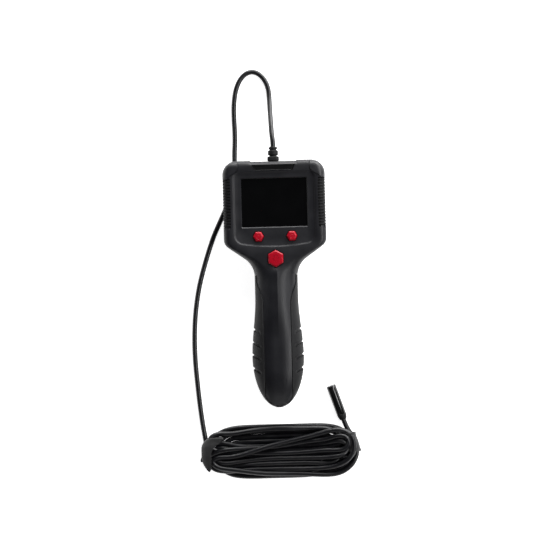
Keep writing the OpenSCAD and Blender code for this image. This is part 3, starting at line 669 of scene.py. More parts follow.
def banded(name, colours, size):
    """Plain coloured bands along the handle, as on a wrapped cell."""
    material, tree, shader, place = nodes_of(name)
    wave = tree.nodes.new("ShaderNodeTexWave")
    wave.bands_direction = "Y"
    wave.wave_profile = "SAW"
    wave.inputs["Scale"].default_value = 0.314 / (size * MM)
    tree.links.new(place, wave.inputs["Vector"])
    stops = [(0, colours[0]), (0.24, colours[0]), (0.26, colours[1]), (1, colours[1])]
    tree.links.new(ramped(tree, wave.outputs["Fac"], stops), shader.inputs["Base Color"])
    tree.links.new(ranged(tree, noise(tree, place, 6), 0.2, 0.35), shader.inputs["Roughness"])
    bumped(tree, shader, noise(tree, place, 1.5), 0.2, 0.05)
    return material


STEEL = dict(rough=(0.25, 0.4), grain=0.2, depth=0.01, metal=1.0)
# Moulded finishes: colour, tint, then roughness, grain, depth and strength
FINISHES = {
    "housing_plastic": ((0.0072, 0.0073, 0.0098), 0.14, (0.4, 0.5), 0.32, 0.035, 0.35),
    "soft_grip": ((0.004, 0.0041, 0.005), 0.15, (0.55, 0.65), 0.5, 0.04, 0.4),
    "guard_plastic": ((0.0085, 0.0087, 0.0112), 0.12, (0.36, 0.46), 0.3, 0.03, 0.3),
    "name_plate": ((0.006, 0.006, 0.0065), 0.2, (0.22, 0.3), 0.3, 0.01, 0.3),
    "screen_glass": ((0.0012, 0.0012, 0.0013), 0.25, (0.06, 0.1), 0.8, 0.002, 0.1),
    "lcd_black": ((0.004, 0.004, 0.0045), 0.2, (0.3, 0.4)),
    "sheet_metal": ((0.62, 0.61, 0.58), 0.08),
    "ribbon": ((0.42, 0.2, 0.03), 0.15, (0.25, 0.35), 0.4, 0.02),
    "chip_black": ((0.012, 0.012, 0.013), 0.2, (0.45, 0.6), 0.15, 0.02),
    "plug_plastic": ((0.7, 0.67, 0.58), 0.06, (0.35, 0.45), 0.3, 0.02),
    "button_red": ((0.4, 0.0003, 0.012), 0.08, (0.32, 0.4), 0.3, 0.012, 0.3),
    "screw_steel": ((0.5, 0.5, 0.52), 0.12),
    "inner_plastic": ((0.02, 0.02, 0.021), 0.15, (0.4, 0.55)),
    "wire": ((0.35, 0.012, 0.01), 0.15, (0.3, 0.4), 0.6, 0.02),
    "cable_jacket": ((0.0058, 0.0058, 0.0072), 0.25, (0.27, 0.37), 0.9, 0.03, 0.25),
    "sleeve_black": ((0.006, 0.006, 0.0065), 0.2, (0.16, 0.24), 0.5, 0.006, 0.2),
    "window_glass": ((0.35, 0.38, 0.42), 0.1, (0.04, 0.08), 0.5, 0.002, 0.1),
    "led": ((0.85, 0.75, 0.3), 0.12, (0.3, 0.4), 0.2, 0.02)}
# What some of them add: a weaker or a glossier surface, metal, brushing, larger patches
EXTRAS = {
    "housing_plastic": dict(specular=0.42), "soft_grip": dict(specular=0.3),
    "button_red": dict(specular=0.35), "screen_glass": dict(coat=0.5),
    "sleeve_black": dict(coat=0.3), "cable_jacket": dict(patch=9),
    "sheet_metal": dict(stretch=(1, 12, 1), **STEEL), "screw_steel": STEEL}


def make_materials():
    """One finish for each material slot of the record."""
    made = {name: moulded(name, *finish, **EXTRAS.get(name, {}))
            for name, finish in FINISHES.items()}
    made["circuit_board"] = tracked("circuit_board", (0.008, 0.09, 0.035), (0.03, 0.2, 0.08))
    made["cell_wrap"] = banded("cell_wrap", ((0.45, 0.3, 0.08), (0.03, 0.03, 0.035)), 50)
    made["strap_fabric"] = woven("strap_fabric", (0.005, 0.005, 0.0055))
    glass = made["window_glass"].node_tree.nodes["Principled BSDF"]
    glass.inputs["Transmission Weight"].default_value = 0.9
    return made


MATERIALS = make_materials()
for part in frame["record"]["subparts"]:
    mesh = frame["nodes"][part["node"]].data
    mesh.materials.clear()
    mesh.materials.append(MATERIALS[part["material_slot"]])

# ------------------------------------------------------------ housing's form

HEAD_W, HEAD_H, HANDLE_H, TOP_Y, TIP_Y = 84.8, 31.0, 33.5, 102.5, -102.5
SPLIT_Z, EDGE_R, CORNER_R, CORNER_X, CORNER_Y = 17.0, 5.0, 11.5, 30.9, 91.0
SHOULDER_Y, SHOULDER_R, FALL = 37.5, 8.0, math.radians(35)
NECK_W, NECK_R, NECK_Y, BULGE_W, BULGE_Y = 35.8, 18.0, -11.0, 43.0, -60.0
PLATEAU_W, PLATEAU_Y, BEVEL_Z = 22.5, 84.0, 12.0
# Where the pieces laid over the shells begin and end, and how deep they lie
GRIP_Y0, GRIP_Y1, GRIP_DEEP = -99.2, 8.0, 1.4
RIBS_Y0, RIBS_Y1, RIBS_X, RIBS_DEEP = 47.8, 87.2, 36.2, 1.5
GUARD_Y0, GUARD_Y1, GUARD_DEEP = 87.4, 95.0, 1.2
# Where the front and the back start to curve in towards the tip
FRONT_TIP_Y, BACK_TIP_Y = -72, -86
SIN_F, COS_F = math.cos(FALL), math.sin(FALL)
NECK_CX = NECK_W / 2 + NECK_R
NECK_PX = NECK_CX - NECK_R * COS_F
NECK_CY = (SHOULDER_Y - SHOULDER_R * SIN_F
           - (HEAD_W / 2 - SHOULDER_R + SHOULDER_R * COS_F - NECK_PX) * math.tan(FALL)
           - NECK_R * SIN_F)


def half_w(y, t=0.0):
    """Half of the housing's width at y, drawn in by t all round."""
    y, t = np.asarray(y, float), np.asarray(t, float)
    line_x = HEAD_W / 2 - SHOULDER_R + (SHOULDER_R - t) * COS_F
    line_y = SHOULDER_Y - (SHOULDER_R - t) * SIN_F
    tip = (BULGE_W / 2 - t) * arc(1, np.maximum(0, BULGE_Y - y) / (BULGE_Y - TIP_Y - t))
    grip = mix(NECK_W / 2, BULGE_W / 2, ramp(NECK_Y, BULGE_Y, y)) - t
    neck = NECK_CX - arc(NECK_R + t, y - NECK_CY)
    slope = line_x - (line_y - y) / math.tan(FALL)
    shoulder = HEAD_W / 2 - SHOULDER_R + arc(SHOULDER_R - t, y - SHOULDER_Y)
    corner = CORNER_X + arc(CORNER_R - t, y - CORNER_Y)
    return np.select(
        [y > CORNER_Y, y > SHOULDER_Y, y > line_y, y > NECK_CY + (NECK_R + t) * SIN_F,
         y > NECK_CY, y > BULGE_Y],
        [corner, HEAD_W / 2 - t + 0 * y, shoulder, slope, neck, grip], tip)


def handle_share(y):
    """0 in the head, 1 in the handle."""
    return ramp(30, 2, y)


def top_z(y, t=0.0):
    """Height of the front on the middle plane, drawn in by t."""
    edge = HEAD_H - EDGE_R + arc(EDGE_R - t, y - TOP_Y + EDGE_R)
    back = mix(HEAD_H, HANDLE_H, ramp(12, -35, y)) - t
    past = np.maximum(0, FRONT_TIP_Y - y) / (FRONT_TIP_Y - TIP_Y - t)
    tip = SPLIT_Z + (HANDLE_H - SPLIT_Z - t) * arc(1, past)
    return np.select([y > TOP_Y - EDGE_R, y > FRONT_TIP_Y], [edge, back], tip)


def low_z(y, t=0.0):
    """Height of the back on the middle plane, drawn in by t."""
    bevel = (y - PLATEAU_Y) * BEVEL_Z / (TOP_Y - PLATEAU_Y) + t
    past = np.maximum(0, BACK_TIP_Y - y) / (BACK_TIP_Y - TIP_Y - t)
    tip = SPLIT_Z - (SPLIT_Z - t) * arc(1, past)
    return np.select([y > PLATEAU_Y, y > BACK_TIP_Y], [bevel, t + 0 * y], tip)


def front_rx(y):
    """Width of the front's rounding towards the side."""
    return mix(EDGE_R, half_w(y) - 3, handle_share(y))


def front_z(x, y, t=0.0):
    """Front surface: flat, then rounded towards the side."""
    x, y = np.abs(x), np.asarray(y, float)
    cx = half_w(y) - front_rx(y)
    rx = np.maximum(0.1, front_rx(y) - t)
    side = np.minimum(mix(EDGE_R, (top_z(y) - SPLIT_Z) * 0.92, handle_share(y)) - t,
                      (top_z(y, t) - SPLIT_Z) * 0.95)
    rz = np.where(y > TOP_Y - EDGE_R, np.maximum(0, top_z(y) - HEAD_H + EDGE_R - t), side)
    return top_z(y, t) - rz + rz * arc(1, np.clip((x - cx) / rx, 0, 1))


def seam_x(y):
    """Inner edge of a grip or guard laid over the front."""
    y = np.asarray(y, float)
    grip = np.minimum(half_w(y) - 0.6, mix(11, half_w(GRIP_Y1) - 0.6, ramp(-16, 9, y)))
    guard = mix(38.5, 29.4, ramp(GUARD_Y0, GUARD_Y1, y))
    return np.select([y > GUARD_Y0, y > GRIP_Y1], [guard, half_w(y) - front_rx(y)], grip)


def flat_x(y, w):
    """Half width of the flat part of the back."""
    return np.minimum(mix(PLATEAU_W, 16, handle_share(y)), w - 0.5)


def rear_profile(y, w, sine):
    """Points of the rear surface at a share of its turn from flat to side."""
    m = 2 / mix(1, 2, handle_share(y))
    z0 = low_z(y)
    wall = np.maximum(mix(BEVEL_Z, 15, handle_share(y)), mix(z0, SPLIT_Z, 0.85))
    rz = np.maximum(0.1, wall - z0)
    x = flat_x(y, w) + (w - flat_x(y, w)) * sine ** m
    return x, z0 + rz * (1 - arc(1, sine) ** m)


def rear_z(x, y, w):
    """Rear surface: flat, then bevelled in the head and rounded in the handle."""
    m = 2 / mix(1, 2, handle_share(y))
    fx = flat_x(y, w)
    share = np.clip((np.abs(x) - fx) / np.maximum(0.01, w - fx), 0, 1)
    return rear_profile(y, w, share ** (1 / m))[1]


def grip_skin(y):
    """How far both shells are drawn in under a grip."""
    return np.where((y > GRIP_Y1) | (y < GRIP_Y0), 0, GRIP_DEEP)


def front_skin(y):
    """How far the front shell is drawn in under what is laid over it."""
    ribs = np.where((y > RIBS_Y0) & (y < RIBS_Y1), RIBS_DEEP, 0)
    return np.where(y > GUARD_Y0, GUARD_DEEP, grip_skin(y) + ribs)


def plan_stations():
    """Stations from the tip to the cable end, close where the form turns."""
    tip = TIP_Y + 42.4 * (1 - np.cos(np.radians(np.arange(0, 91, 3))))
    body = np.arange(-58, 88, 2.0)
    steps = [y + d for y in (GRIP_Y0, GRIP_Y1, RIBS_Y0, RIBS_Y1, GUARD_Y0) for d in (-0.01, 0.01)]
    corner = CORNER_Y + CORNER_R * np.sin(np.radians(np.arange(-15, 91, 5)))
    return np.unique(np.round(np.concatenate([tip, body, steps, corner]), 4))


STATIONS = plan_stations()


def plan_outline(draw, top_points):
    """Plan of a shell, counter-clockwise from the tip, drawn in by draw(y)."""
    y = STATIONS[(STATIONS > TIP_Y) & (STATIONS < TOP_Y - 0.02)]
    right = []
    for v in y:
        t = float(draw(np.array(v)))
        at = CORNER_Y + (v - CORNER_Y) * (CORNER_R - t) / CORNER_R if v > CORNER_Y else v
        right.append((float(half_w(at, t)), at))
    left = [(-a, b) for a, b in right[::-1]]
    return np.array([(0, TIP_Y)] + right + top_points + left)


# ------------------------------------------------------------ front shell

SCREEN_Y, SCREEN_W, SCREEN_L = 67.5, 54.0, 40.0
SMALL_AT, SMALL_D = (13.8, 39.6), 9.0
POWER_AT, POWER_D = (0.0, 21.3), 14.2
HOLE_GAP = 0.2
# A soft ridge along the front of the handle
RIDGE_X, RIDGE_HALF, RIDGE_SLOPE = 0.8, 9.2, 0.17


def panel_outline():
    """Outline of the recess round the screen: round corners, bowed below."""
    def bow(cx, cy, r, start, end, count):
        angles = np.radians(np.linspace(start, end, count))
        return [(cx + r * math.cos(a), cy + r * math.sin(a)) for a in angles]
    lower = [(x, 31.4 + 2.09 * (x / 26.4) ** 2) for x in np.linspace(-22, 22, 23)]
    return np.array(bow(28.6, 87.8, 4.6, 0, 90, 9) + bow(-28.6, 87.8, 4.6, 90, 180, 9)
                    + bow(-25.2, 41.4, 8, 180, 261, 12) + lower + bow(25.2, 41.4, 8, 279, 360, 12))


PANEL = panel_outline()
PLATE = np.array([(-15.4, 93.8), (15.4, 93.8), (17.9, 98.7), (-17.9, 98.7)])
WINDOW = rounded_polygon(rectangle(-SCREEN_W / 2, SCREEN_Y - SCREEN_L / 2,
                                   SCREEN_W / 2, SCREEN_Y + SCREEN_L / 2), 0.9)


def button_holes():
    """Outlines of the left, right and power buttons' holes."""
    small = SMALL_D + 2 * HOLE_GAP
    hexagons = (hexagon(-SMALL_AT[0], SMALL_AT[1], small, 0), hexagon(*SMALL_AT, small, 0),
                hexagon(*POWER_AT, POWER_D + 2 * HOLE_GAP, 30))
    return [rounded_polygon(h, 0.5, 3) for h in hexagons]


def front_top(x, y):
    """The front shell's outer surface."""
    ax = np.abs(x)
    z = front_z(x, y)
    fold = ramp(16, 9, y) * ramp(-52, -6, y)
    z = z + RIDGE_SLOPE * fold * np.maximum(0, RIDGE_HALF - np.abs(x - RIDGE_X))
    covered = (ax > seam_x(y) + 0.04) & ((y > GUARD_Y0) | (y < GRIP_Y1)) & (front_skin(y) > 0)
    covered |= (ax > RIBS_X) & (y > RIBS_Y0) & (y < RIBS_Y1)
    z = np.where(covered, front_z(x, y, front_skin(y)), z)
    edge = ramp(19.6, 17.6, ax - (y - 98.7) * 0.35)
    strip = 30.6 - (y - 98.9) * 1.05
    z = np.where((y > 98) & (ax < 19.9), mix(z, np.minimum(z, strip), edge), z)
    z = z - 0.9 * ramp(0.9, -0.9, edge_distance(x, y, PANEL))
    z = np.where(inside(np.stack([x, y], 1), grown(PLATE, 0.1)), np.minimum(z, 29.6), z)
    lip = ramp(0.75, 0, edge_distance(x, y, WINDOW))
    z = z - 0.75 * lip
    for hole in button_holes():
        z = z - 0.35 * ramp(0.4, 0, edge_distance(x, y, hole))
    return z


def wall_at(y):
    """Thickness of the shells' walls, more in the handle than in the head."""
    return np.where(y < 20, 3.0, 2.2)


def front_inner(x, y):
    """The front shell's inner surface, down to the parting line at the rim."""
    wall = wall_at(y)
    room = half_w(y, front_skin(y)) - np.abs(x)
    level = front_z(x, y, wall) - 0.6
    level = np.where((y > 30) & (y < 95), np.minimum(level, 28.6), level)
    end = np.minimum(ramp(100.4, 98.6, y), ramp(-98, -96, y))
    share = ramp(wall - 0.6, wall + 0.5, room) * end
    level = mix(SPLIT_Z, level, share)
    return np.where((np.abs(x) < 5) & (y > 97.8), 27.65, level)


def side_rows(side, first, last, sines):
    """Lines along the body at shares of the front's turn to the side."""
    rows = []
    y = STATIONS[(STATIONS > first) & (STATIONS < last)]
    for sine in sines:
        x = half_w(y) - front_rx(y) * (1 - sine)
        rows.append(np.stack([side * x, y], 1))
    return rows


def front_rows():
    """Lines that the front shell's surface needs besides its outlines."""
    rows = []
    sines = np.sin(np.radians(np.arange(0, 90, 10)))
    grip = STATIONS[(STATIONS > -99.1) & (STATIONS < GRIP_Y1 - 0.1)]
    guard = STATIONS[(STATIONS > GUARD_Y0 + 0.1) & (STATIONS < 101.5)]
    inner = STATIONS[(STATIONS > -96) & (STATIONS < 97)]
    for side in (-1, 1):
        for first, last in ((-101, GRIP_Y1), (GRIP_Y1, RIBS_Y0), (RIBS_Y0, 87.3)):
            rows += side_rows(side, first, last, sines)
        rows += side_rows(side, 88, 101, [0, 0.5])
        for gap in (0, 0.08):
            rows += [np.stack([side * (seam_x(y) + gap), y], 1) for y in (grip, guard)]
            rows.append([(side * (RIBS_X - 0.04 + gap), y) for y in (RIBS_Y0 + 0.1, RIBS_Y1 - 0.1)])
        rows.append([(side * 15.4, 93.8), (side * 17.9, 98.7), (side * 19, 100.6)])
        rows.append([(side * 5, 97.8), (side * 5, 101)])
        rows.append([(side * 17.2, 98.7), (side * 18, 101)])
        for wall in (2.4, 3.4):
            draw = half_w(inner, front_skin(inner)) - wall
            rows.append(np.stack([side * draw, inner], 1))
    for x in (-8.4, -6.8, -5.2, -3.6, -2, -0.6, 0.55, 0.8, 1.05, 2.6, 4.2, 5.8, 7.4, 9, 10):
        y = np.arange(-94 if abs(x) < 8 else -88, 11, 2.0)
        rows.append(np.stack([np.full(len(y), x), y], 1))
    for angle in range(0, 90, 12):
        y = TOP_Y - EDGE_R + EDGE_R * math.sin(math.radians(angle))
        x = np.linspace(18.2 if y > 98.8 else 0, 29.3, 8)
        rows += [np.stack([side * x, np.full(8, y)], 1) for side in (-1, 1)]
    rows.append([(x, 98.95) for x in np.linspace(-18.4, 18.4, 15)])
    return rows


def front_shell():
    """The front housing: recessed panel, holes and seats for what lies over it."""
    top = [(29.4, TOP_Y), (26, TOP_Y), (22, TOP_Y), (19.3, TOP_Y), (18.4, 101.2), (12, 101.2),
           (4.95, 101.2), (0, 101.2)]
    top += [(-x, y) for x, y in top[-2::-1]]
    holes = [WINDOW, *button_holes()]
    loops = [grown(PANEL, d) for d in (-0.9, -0.5, 0, 0.5, 0.9)]
    loops += [grown(WINDOW, 0.75), grown(PLATE, 0.05), grown(PLATE, 0.2)]
    loops += [grown(hole, 0.4) for hole in button_holes()]
    return relief("front_housing", plan_outline(front_skin, top), front_top, front_inner, holes,
                  loops, front_rows(), rim=0.3)


# ------------------------------------------------------------ rear shell and door

# The door: half width, ends, where its tail starts, and its thickness
DOOR_W, DOOR_Y0, DOOR_Y1, DOOR_TAIL, DOOR_T = 14.4, -95.5, 20.8, -84.2, 2.35
SCREWS = [(34.4, 94), (-34.4, 94), (34.4, 37.5), (-34.4, 37.5), (0, -93.5)]


def circle(x, y, r, count=32):
    """A circle as a closed ring of points."""
    angles = np.linspace(0, 2 * np.pi, count, endpoint=False)
    return np.stack([x + r * np.cos(angles), y + r * np.sin(angles)], 1)


def door_outline(grow):
    """Outline of the battery door: straight sides, then the handle's own tip."""
    w, y0 = DOOR_W + grow, DOOR_Y0 - grow
    tail = [(float(half_w(y, 2.6)) + grow, y) for y in np.linspace(y0 + grow, DOOR_TAIL, 12)]
    right = tail + [(w, DOOR_TAIL + 0.01), (w, DOOR_Y1 + grow)]
    left = [(-x, y) for x, y in right[::-1]]
    return np.array(right + left)


def rear_shell():
    """The rear housing, open where the battery door and four screws sit."""
    top = [(x, TOP_Y) for x in (24, 12, 0, -12, -24)]
    outline = plan_outline(grip_skin, [(30.9, TOP_Y)] + top + [(-30.9, TOP_Y)])
    door = door_outline(0.15)
    holes = [door] + [circle(*at, 3) for at in SCREWS[:4]]

    def outer(x, y):
        z = rear_z(x, y, half_w(y, grip_skin(y)))
        return np.where(y < DOOR_TAIL, np.maximum(z, 2.5), z)

    def inner(x, y):
        wall = wall_at(y)
        room = half_w(y, grip_skin(y)) - np.abs(x)
        end = np.minimum(ramp(101.2, 99.5, y), ramp(-100, -97.5, y))
        share = ramp(wall - 0.6, wall + 0.5, room) * end
        return mix(SPLIT_Z, np.minimum(SPLIT_Z - 0.6, outer(x, y) + wall), share)

    rows = []
    y = STATIONS[(STATIONS > -101) & (STATIONS < 101)]
    w = half_w(y, grip_skin(y))
    for side in (-1, 1):
        for degrees in range(0, 90, 10):
            x = rear_profile(y, w, np.full(len(y), math.sin(math.radians(degrees))))[0]
            rows.append(np.stack([side * x, y], 1))
        for wall in (2.4, 3.4):
            rows.append(np.stack([side * (w - wall), y], 1)[4:-4])
    rows.append([(x, PLATEAU_Y) for x in np.linspace(-34, 34, 12)])
    return relief("rear_housing", outline, inner, outer, holes, [], rows, rim=0.3, rim_at="top")


def battery_door():
    """Sliding door with a thumb grip of five grooves and side tongues."""
    outline = door_outline(-0.1)
    bars = [np.array(rectangle(-9, 6 - 3 * i, 9, 7.2 - 3 * i)) for i in range(5)]

    def under(x, y):
        z = np.interp(y, [-93, -89, -85, -84], [2, 1.9, 1.5, 0.35])
        for bar in bars:
            z = z + 0.4 * ramp(0, -0.3, edge_distance(x, y, bar))
        return z + 0.25 * ramp(-0.4, 0, edge_distance(x, y, outline))

    def over(x, y):
        return np.full(len(x), DOOR_T)

    loops = [grown(outline, -0.4)] + [grown(bar, -d) for bar in bars for d in (0, 0.3)]
    rows = [[(x, y) for x in (-8, 0, 8)] for y in (-93, -89, -85, -84)]
    door = relief("door", outline, over, under, [], loops, rows)
    tongues = []
    for x in (-14.65, 14.65):
        plan = np.array(rectangle(x - 0.75, DOOR_TAIL, x + 0.75, DOOR_TAIL + 97))
        levels = [(0.15, 1.3), (0, 1.5), (0, 2.1), (0.15, 2.3)]
        tongues.append(add_mesh("tongue", *stack(level_rings(plan, levels))))
    return joined(door, tongues)


def joined(first, others):
    """One object out of several meshes."""
    with bpy.context.temp_override(active_object=first, selected_editable_objects=[first, *others]):
        bpy.ops.object.join()
    return first


# ------------------------------------------------------------ grips, guards, ribs

# Four notches in each grip, from the first one's middle on
NOTCH_Y, NOTCH_STEP, NOTCH_DEEP, NOTCH_TURN = -36.0, 11.0, 1.2, math.radians(28)
NOTCH_HALF, NOTCH_FLOOR = 1.25, 0.95


def notch_depth(x, y):
    """Depth of the four slanting notches in a grip, at points on its surface."""
    depth = np.zeros_like(x)
    for i in range(4):
        along = y - NOTCH_Y + NOTCH_STEP * i
        off = along * math.cos(NOTCH_TURN) - (x - BULGE_W / 2) * math.sin(NOTCH_TURN)
        depth = np.maximum(depth, ramp(NOTCH_HALF, NOTCH_FLOOR, np.abs(off)))
    return NOTCH_DEEP * depth * ramp(14.2, 15.2, x)


def grip_stations():
    """Stations along a grip, with lines on both lips of each notch."""
    plain = STATIONS[(STATIONS > -99) & (STATIONS < 7.8)]
    cuts = [NOTCH_Y - NOTCH_STEP * i + d / math.cos(NOTCH_TURN)
            for i in range(4) for d in (-NOTCH_HALF, -NOTCH_FLOOR, NOTCH_FLOOR, NOTCH_HALF)]
    far = [v for v in plain if min(abs(v - c) for c in cuts) > 0.5]
    return np.unique(np.round(np.concatenate([[-99.05], far, cuts, [7.9]]), 4))


def grip_ring(s):
    """Closed section of a grip: lip, front, side, rear and back inside it."""
    share = float(ramp(-92, -76, s) * ramp(-18, -30, s))
    front = np.sin(np.radians([0, 6, 13, 19, 23, 28, 34, 42, 50, 60, 70, 80, 90]))
    rear = np.sin(np.radians([90, 75, 60, 48, 36]))

    def at(sine, t):
        w = half_w(s, t)
        x0 = mix(seam_x(s) + 0.12, w, sine)
        y = s + (x0 - BULGE_W / 2) * math.tan(NOTCH_TURN) * share
        xs = np.minimum(seam_x(y), half_w(y, 1.4) - 0.4) + 0.12
        return mix(xs, half_w(y, t), sine), y

    x, y = at(front, 0.0)
    cut = notch_depth(x, y)
    z = front_z(x, y, cut) + 0.25 * (1 - front ** 3) * ramp(7.9, 4, s) * ramp(-99, -94, s)
    x = np.minimum(x, half_w(y, cut))
    lip = np.array([[x[0], y[0], z[0] - 0.8], [x[0] + 0.05, y[0], z[0] - 0.4]])
    outer = np.stack([x, y, z], 1)
    outer[0, 0] += 0.5
    ys = np.full(len(rear), y[-1])
    side_cut = notch_depth(np.full(len(rear), x[-1]), ys)
    rx, rz = rear_profile(ys, half_w(ys, side_cut), rear)
    vx, vz = rear_profile(ys, half_w(ys, 1.3), rear)
    vx[-1] = rx[-1] - 0.1
    w = float(half_w(ys[:1], side_cut[:1])[0])
    v = float(half_w(ys[:1], 1.3)[0])
    inner_x, inner_y = at(front, 1.3)
    inner = np.stack([inner_x, inner_y, front_z(inner_x, inner_y, 1.3)], 1)
    return np.vstack([lip, outer, [[w, y[-1], SPLIT_Z]], np.stack([rx, ys, rz], 1),
                      np.stack([vx, ys, vz + 0.3], 1)[::-1], [[v, y[-1], SPLIT_Z]], inner[::-1]])


def guard_ring(y):
    """Closed section of a corner guard."""
    t = 1.1
    w, v = float(half_w(y)), float(half_w(y, t))
    xs = min(float(seam_x(y)), float(half_w(y, 1.2)) - 0.4) + 0.12
    sines = np.sin(np.radians([0, 10, 20, 32, 44, 56, 68, 80, 90]))
    x, back = mix(xs, w, sines), mix(xs, v, sines)
    proud = 0.6 * ramp(102.3, 98, y)
    outer = np.stack([x, np.full(9, y), front_z(x, np.full(9, y)) + proud * (1 - sines ** 3)], 1)
    inner = np.stack([back, np.full(9, y), front_z(back, np.full(9, y), t)], 1)
    lip = np.array([[xs, y, outer[0, 2] - 1.1], [xs + 0.03, y, outer[0, 2] - 0.55]])
    outer[0, 0] += 0.55
    rim = np.array([[w, y, SPLIT_Z + 0.4], [w - 0.3, y, SPLIT_Z + 0.1], [v, y, SPLIT_Z + 0.1]])
    return np.vstack([lip, outer, rim, inner[::-1]])


def rib_section(y, t):
    """The head's edge at y from the front to the side, drawn in by t."""
    angles = np.radians(np.arange(90, -1, -9))
    x = HEAD_W / 2 - EDGE_R + (EDGE_R - t) * np.cos(angles)
    z = HEAD_H - EDGE_R + (EDGE_R - t) * np.sin(angles)
    x = np.concatenate([[36.25, 36.7], x, [HEAD_W / 2 - t] * 3])
    z = np.concatenate([[HEAD_H - t] * 2, z, [23.5, 20, 19.05]])
    return np.stack([x, np.full(len(x), y), z], 1)


def rib_strip():
    """Closed comb of sixteen ribs on the head's rounded edge."""
    levels = [(47.9, 0.7), (48.2, 1)]
    for i in range(16):
        y = 47.9 + 2.45 * i
        levels += [(y + 0.45, 1), (y + 0.75, 0), (y + 1.6, 0), (y + 1.95, 1)]
    levels += [(86.8, 1), (87.1, 0.7)]
    outer = np.array([rib_section(y, t) for y, t in levels])
    inner = np.array([rib_section(y, 1.4) for y, _ in levels])
    return skin(outer, inner)


# ------------------------------------------------------------ buttons, plate, lens

def red_button(name, at, d, turn, top, mark):
    """Hexagonal cap with bevelled sides and a ring sunk in its face."""
    face = rounded_polygon(hexagon(*at, d, turn), 0.7, 4)
    levels = [(-1.1, 27.4), (-1.1, 28.1), (0, 28.1), (0, top - 1.0), (0.12, top - 0.8),
              (0.85, top - 0.12), (1.05, top)]
    levels += [(mark, top), (mark + 0.15, top - 0.14), (mark + 0.55, top - 0.14), (mark + 0.7, top)]
    return add_mesh(name, *stack(scaled_rings(face, levels)))


def power_outline():
    """Outline of the power button's cap."""
    return rounded_polygon(hexagon(*POWER_AT, POWER_D, 30), 0.7, 4)


def power_face(top):
    """Relief of the power button's face: an open ring and a bar."""
    def height(x, y):
        dx, dy = x - POWER_AT[0], y - POWER_AT[1]
        r = np.hypot(dx, dy)
        ring = (np.abs(r - 2.3) < 0.29) & ~((dy > 0) & (np.abs(dx) < 0.95))
        bar = (np.abs(dx) < 0.29) & (dy > 0.9) & (dy < 3.35)
        face = edge_distance(x, y, power_outline())
        return top - 0.9 * ramp(-1.0, 0, face) - np.where(ring | bar, 0.2, 0)
    return height


def power_button(top):
    """Large hexagonal cap with its mark, on a flange."""
    face = power_outline()
    loops = [grown(face, -d) for d in (0.12, 0.4, 0.7, 1.0)]
    loops += [circle(*POWER_AT, r, 48) for r in (1.96, 2.04, 2.56, 2.64)]
    for grow in (0, 0.07):
        loops.append(np.array(rectangle(-0.25 - grow, POWER_AT[1] + 0.95 - grow,
                                        0.25 + grow, POWER_AT[1] + 3.3 + grow)))
    cap = relief("power_cap", face, power_face(top), lambda x, y: 28.05 + 0 * x, [], loops)
    flange = stack(scaled_rings(face, [(-1.1, 27.4), (-1.1, 28.1)]))
    return joined(cap, [add_mesh("flange", *flange)])


def name_plate():
    """Blank plate with a raised rim, sunk in the housing's top strip."""
    low, high = node_box("name_plate")
    top = high[2]
    outline = rounded_polygon(PLATE, 0.5, 3)
    levels = [(0, low[2]), (0, top - 0.15), (0.15, top), (0.5, top), (0.75, top - 0.25)]
    return add_mesh("badge", *stack(level_rings(outline, levels)))


def screen_lens():
    """Clear window over the display, with chamfered edges."""
    low, high = node_box("screen_lens")
    outline = np.array(rectangle(low[0], low[1], high[0], high[1]))
    levels = [(0.2, low[2]), (0, low[2] + 0.2), (0, high[2] - 0.2), (0.2, high[2])]
    return add_mesh("screen_glass", *stack(level_rings(outline, levels)))


# ------------------------------------------------------------ cable's fittings

def section_ring(y, half, square, z0=22.2, count=32):
    """A ring across the boot, from round to nearly square."""
    angles = np.linspace(0, 2 * np.pi, count, endpoint=False)
    c, s = np.cos(angles), np.sin(angles)
    k = mix(1.0, 0.42, square)
    return np.stack([half * np.sign(c) * np.abs(c) ** k, np.full(count, y),
                     z0 + half * np.sign(s) * np.abs(s) ** k], 1)


def cable_boot():
    """Square block in the housing's notch, then a ribbed round nose."""
    profile = [(98, 4.6, 1), (98.2, 4.8, 1), (101.4, 4.8, 1), (101.6, 4.3, 1), (102.5, 4.3, 1),
               (102.7, 4.85, 1), (105.2, 4.85, 0.9), (105.7, 4.5, 0.8), (105.8, 3.2, 0.1),
               (107, 3.1, 0), (107.1, 4, 0.1), (107.4, 4.25, 0.1), (110.5, 4.2, 0.1),
               (110.9, 3.9, 0), (111, 2.9, 0), (112.1, 2.8, 0), (112.2, 3.5, 0), (112.4, 3.7, 0),
               (113.5, 3.6, 0), (113.7, 3.3, 0), (113.8, 2.5, 0), (114.1, 2.35, 0)]
    rings = [section_ring(*p) for p in profile]
    rings += [section_ring(114.0, 2.14, 0), section_ring(98.1, 2.14, 0)]
    return add_mesh("boot", *tube(rings))


PROBE_AT, PROBE_TURN = (52.0, -110.9, 4.0), math.radians(19)


def probe_frame(points):
    """Moves points along +Y at the origin to the camera head's place."""
    c, s = math.cos(PROBE_TURN), math.sin(PROBE_TURN)
    p = np.asarray(points, float)
    return np.stack([c * p[:, 0] - s * p[:, 1] + PROBE_AT[0],
                     s * p[:, 0] + c * p[:, 1] + PROBE_AT[1], p[:, 2] + PROBE_AT[2]], 1)


def turned(profile, count=48):
    """A closed turned wall through (along, radius), placed at the camera head."""
    points, faces = tube([section_ring(a, r, 0, 0, count) for a, r in profile])
    return probe_frame(points), faces


def probe_sleeve():
    """The camera head's sleeve, with a groove behind its window."""
    profile = [(0, 3.55), (0, 3.85), (0.25, 4), (21.0, 4), (21.1, 3.9), (21.4, 3.9), (21.5, 4),
               (25.3, 4), (25.6, 3.8), (25.6, 3.5), (25.2, 3.48)]
    return add_mesh("sleeve", *turned(profile))


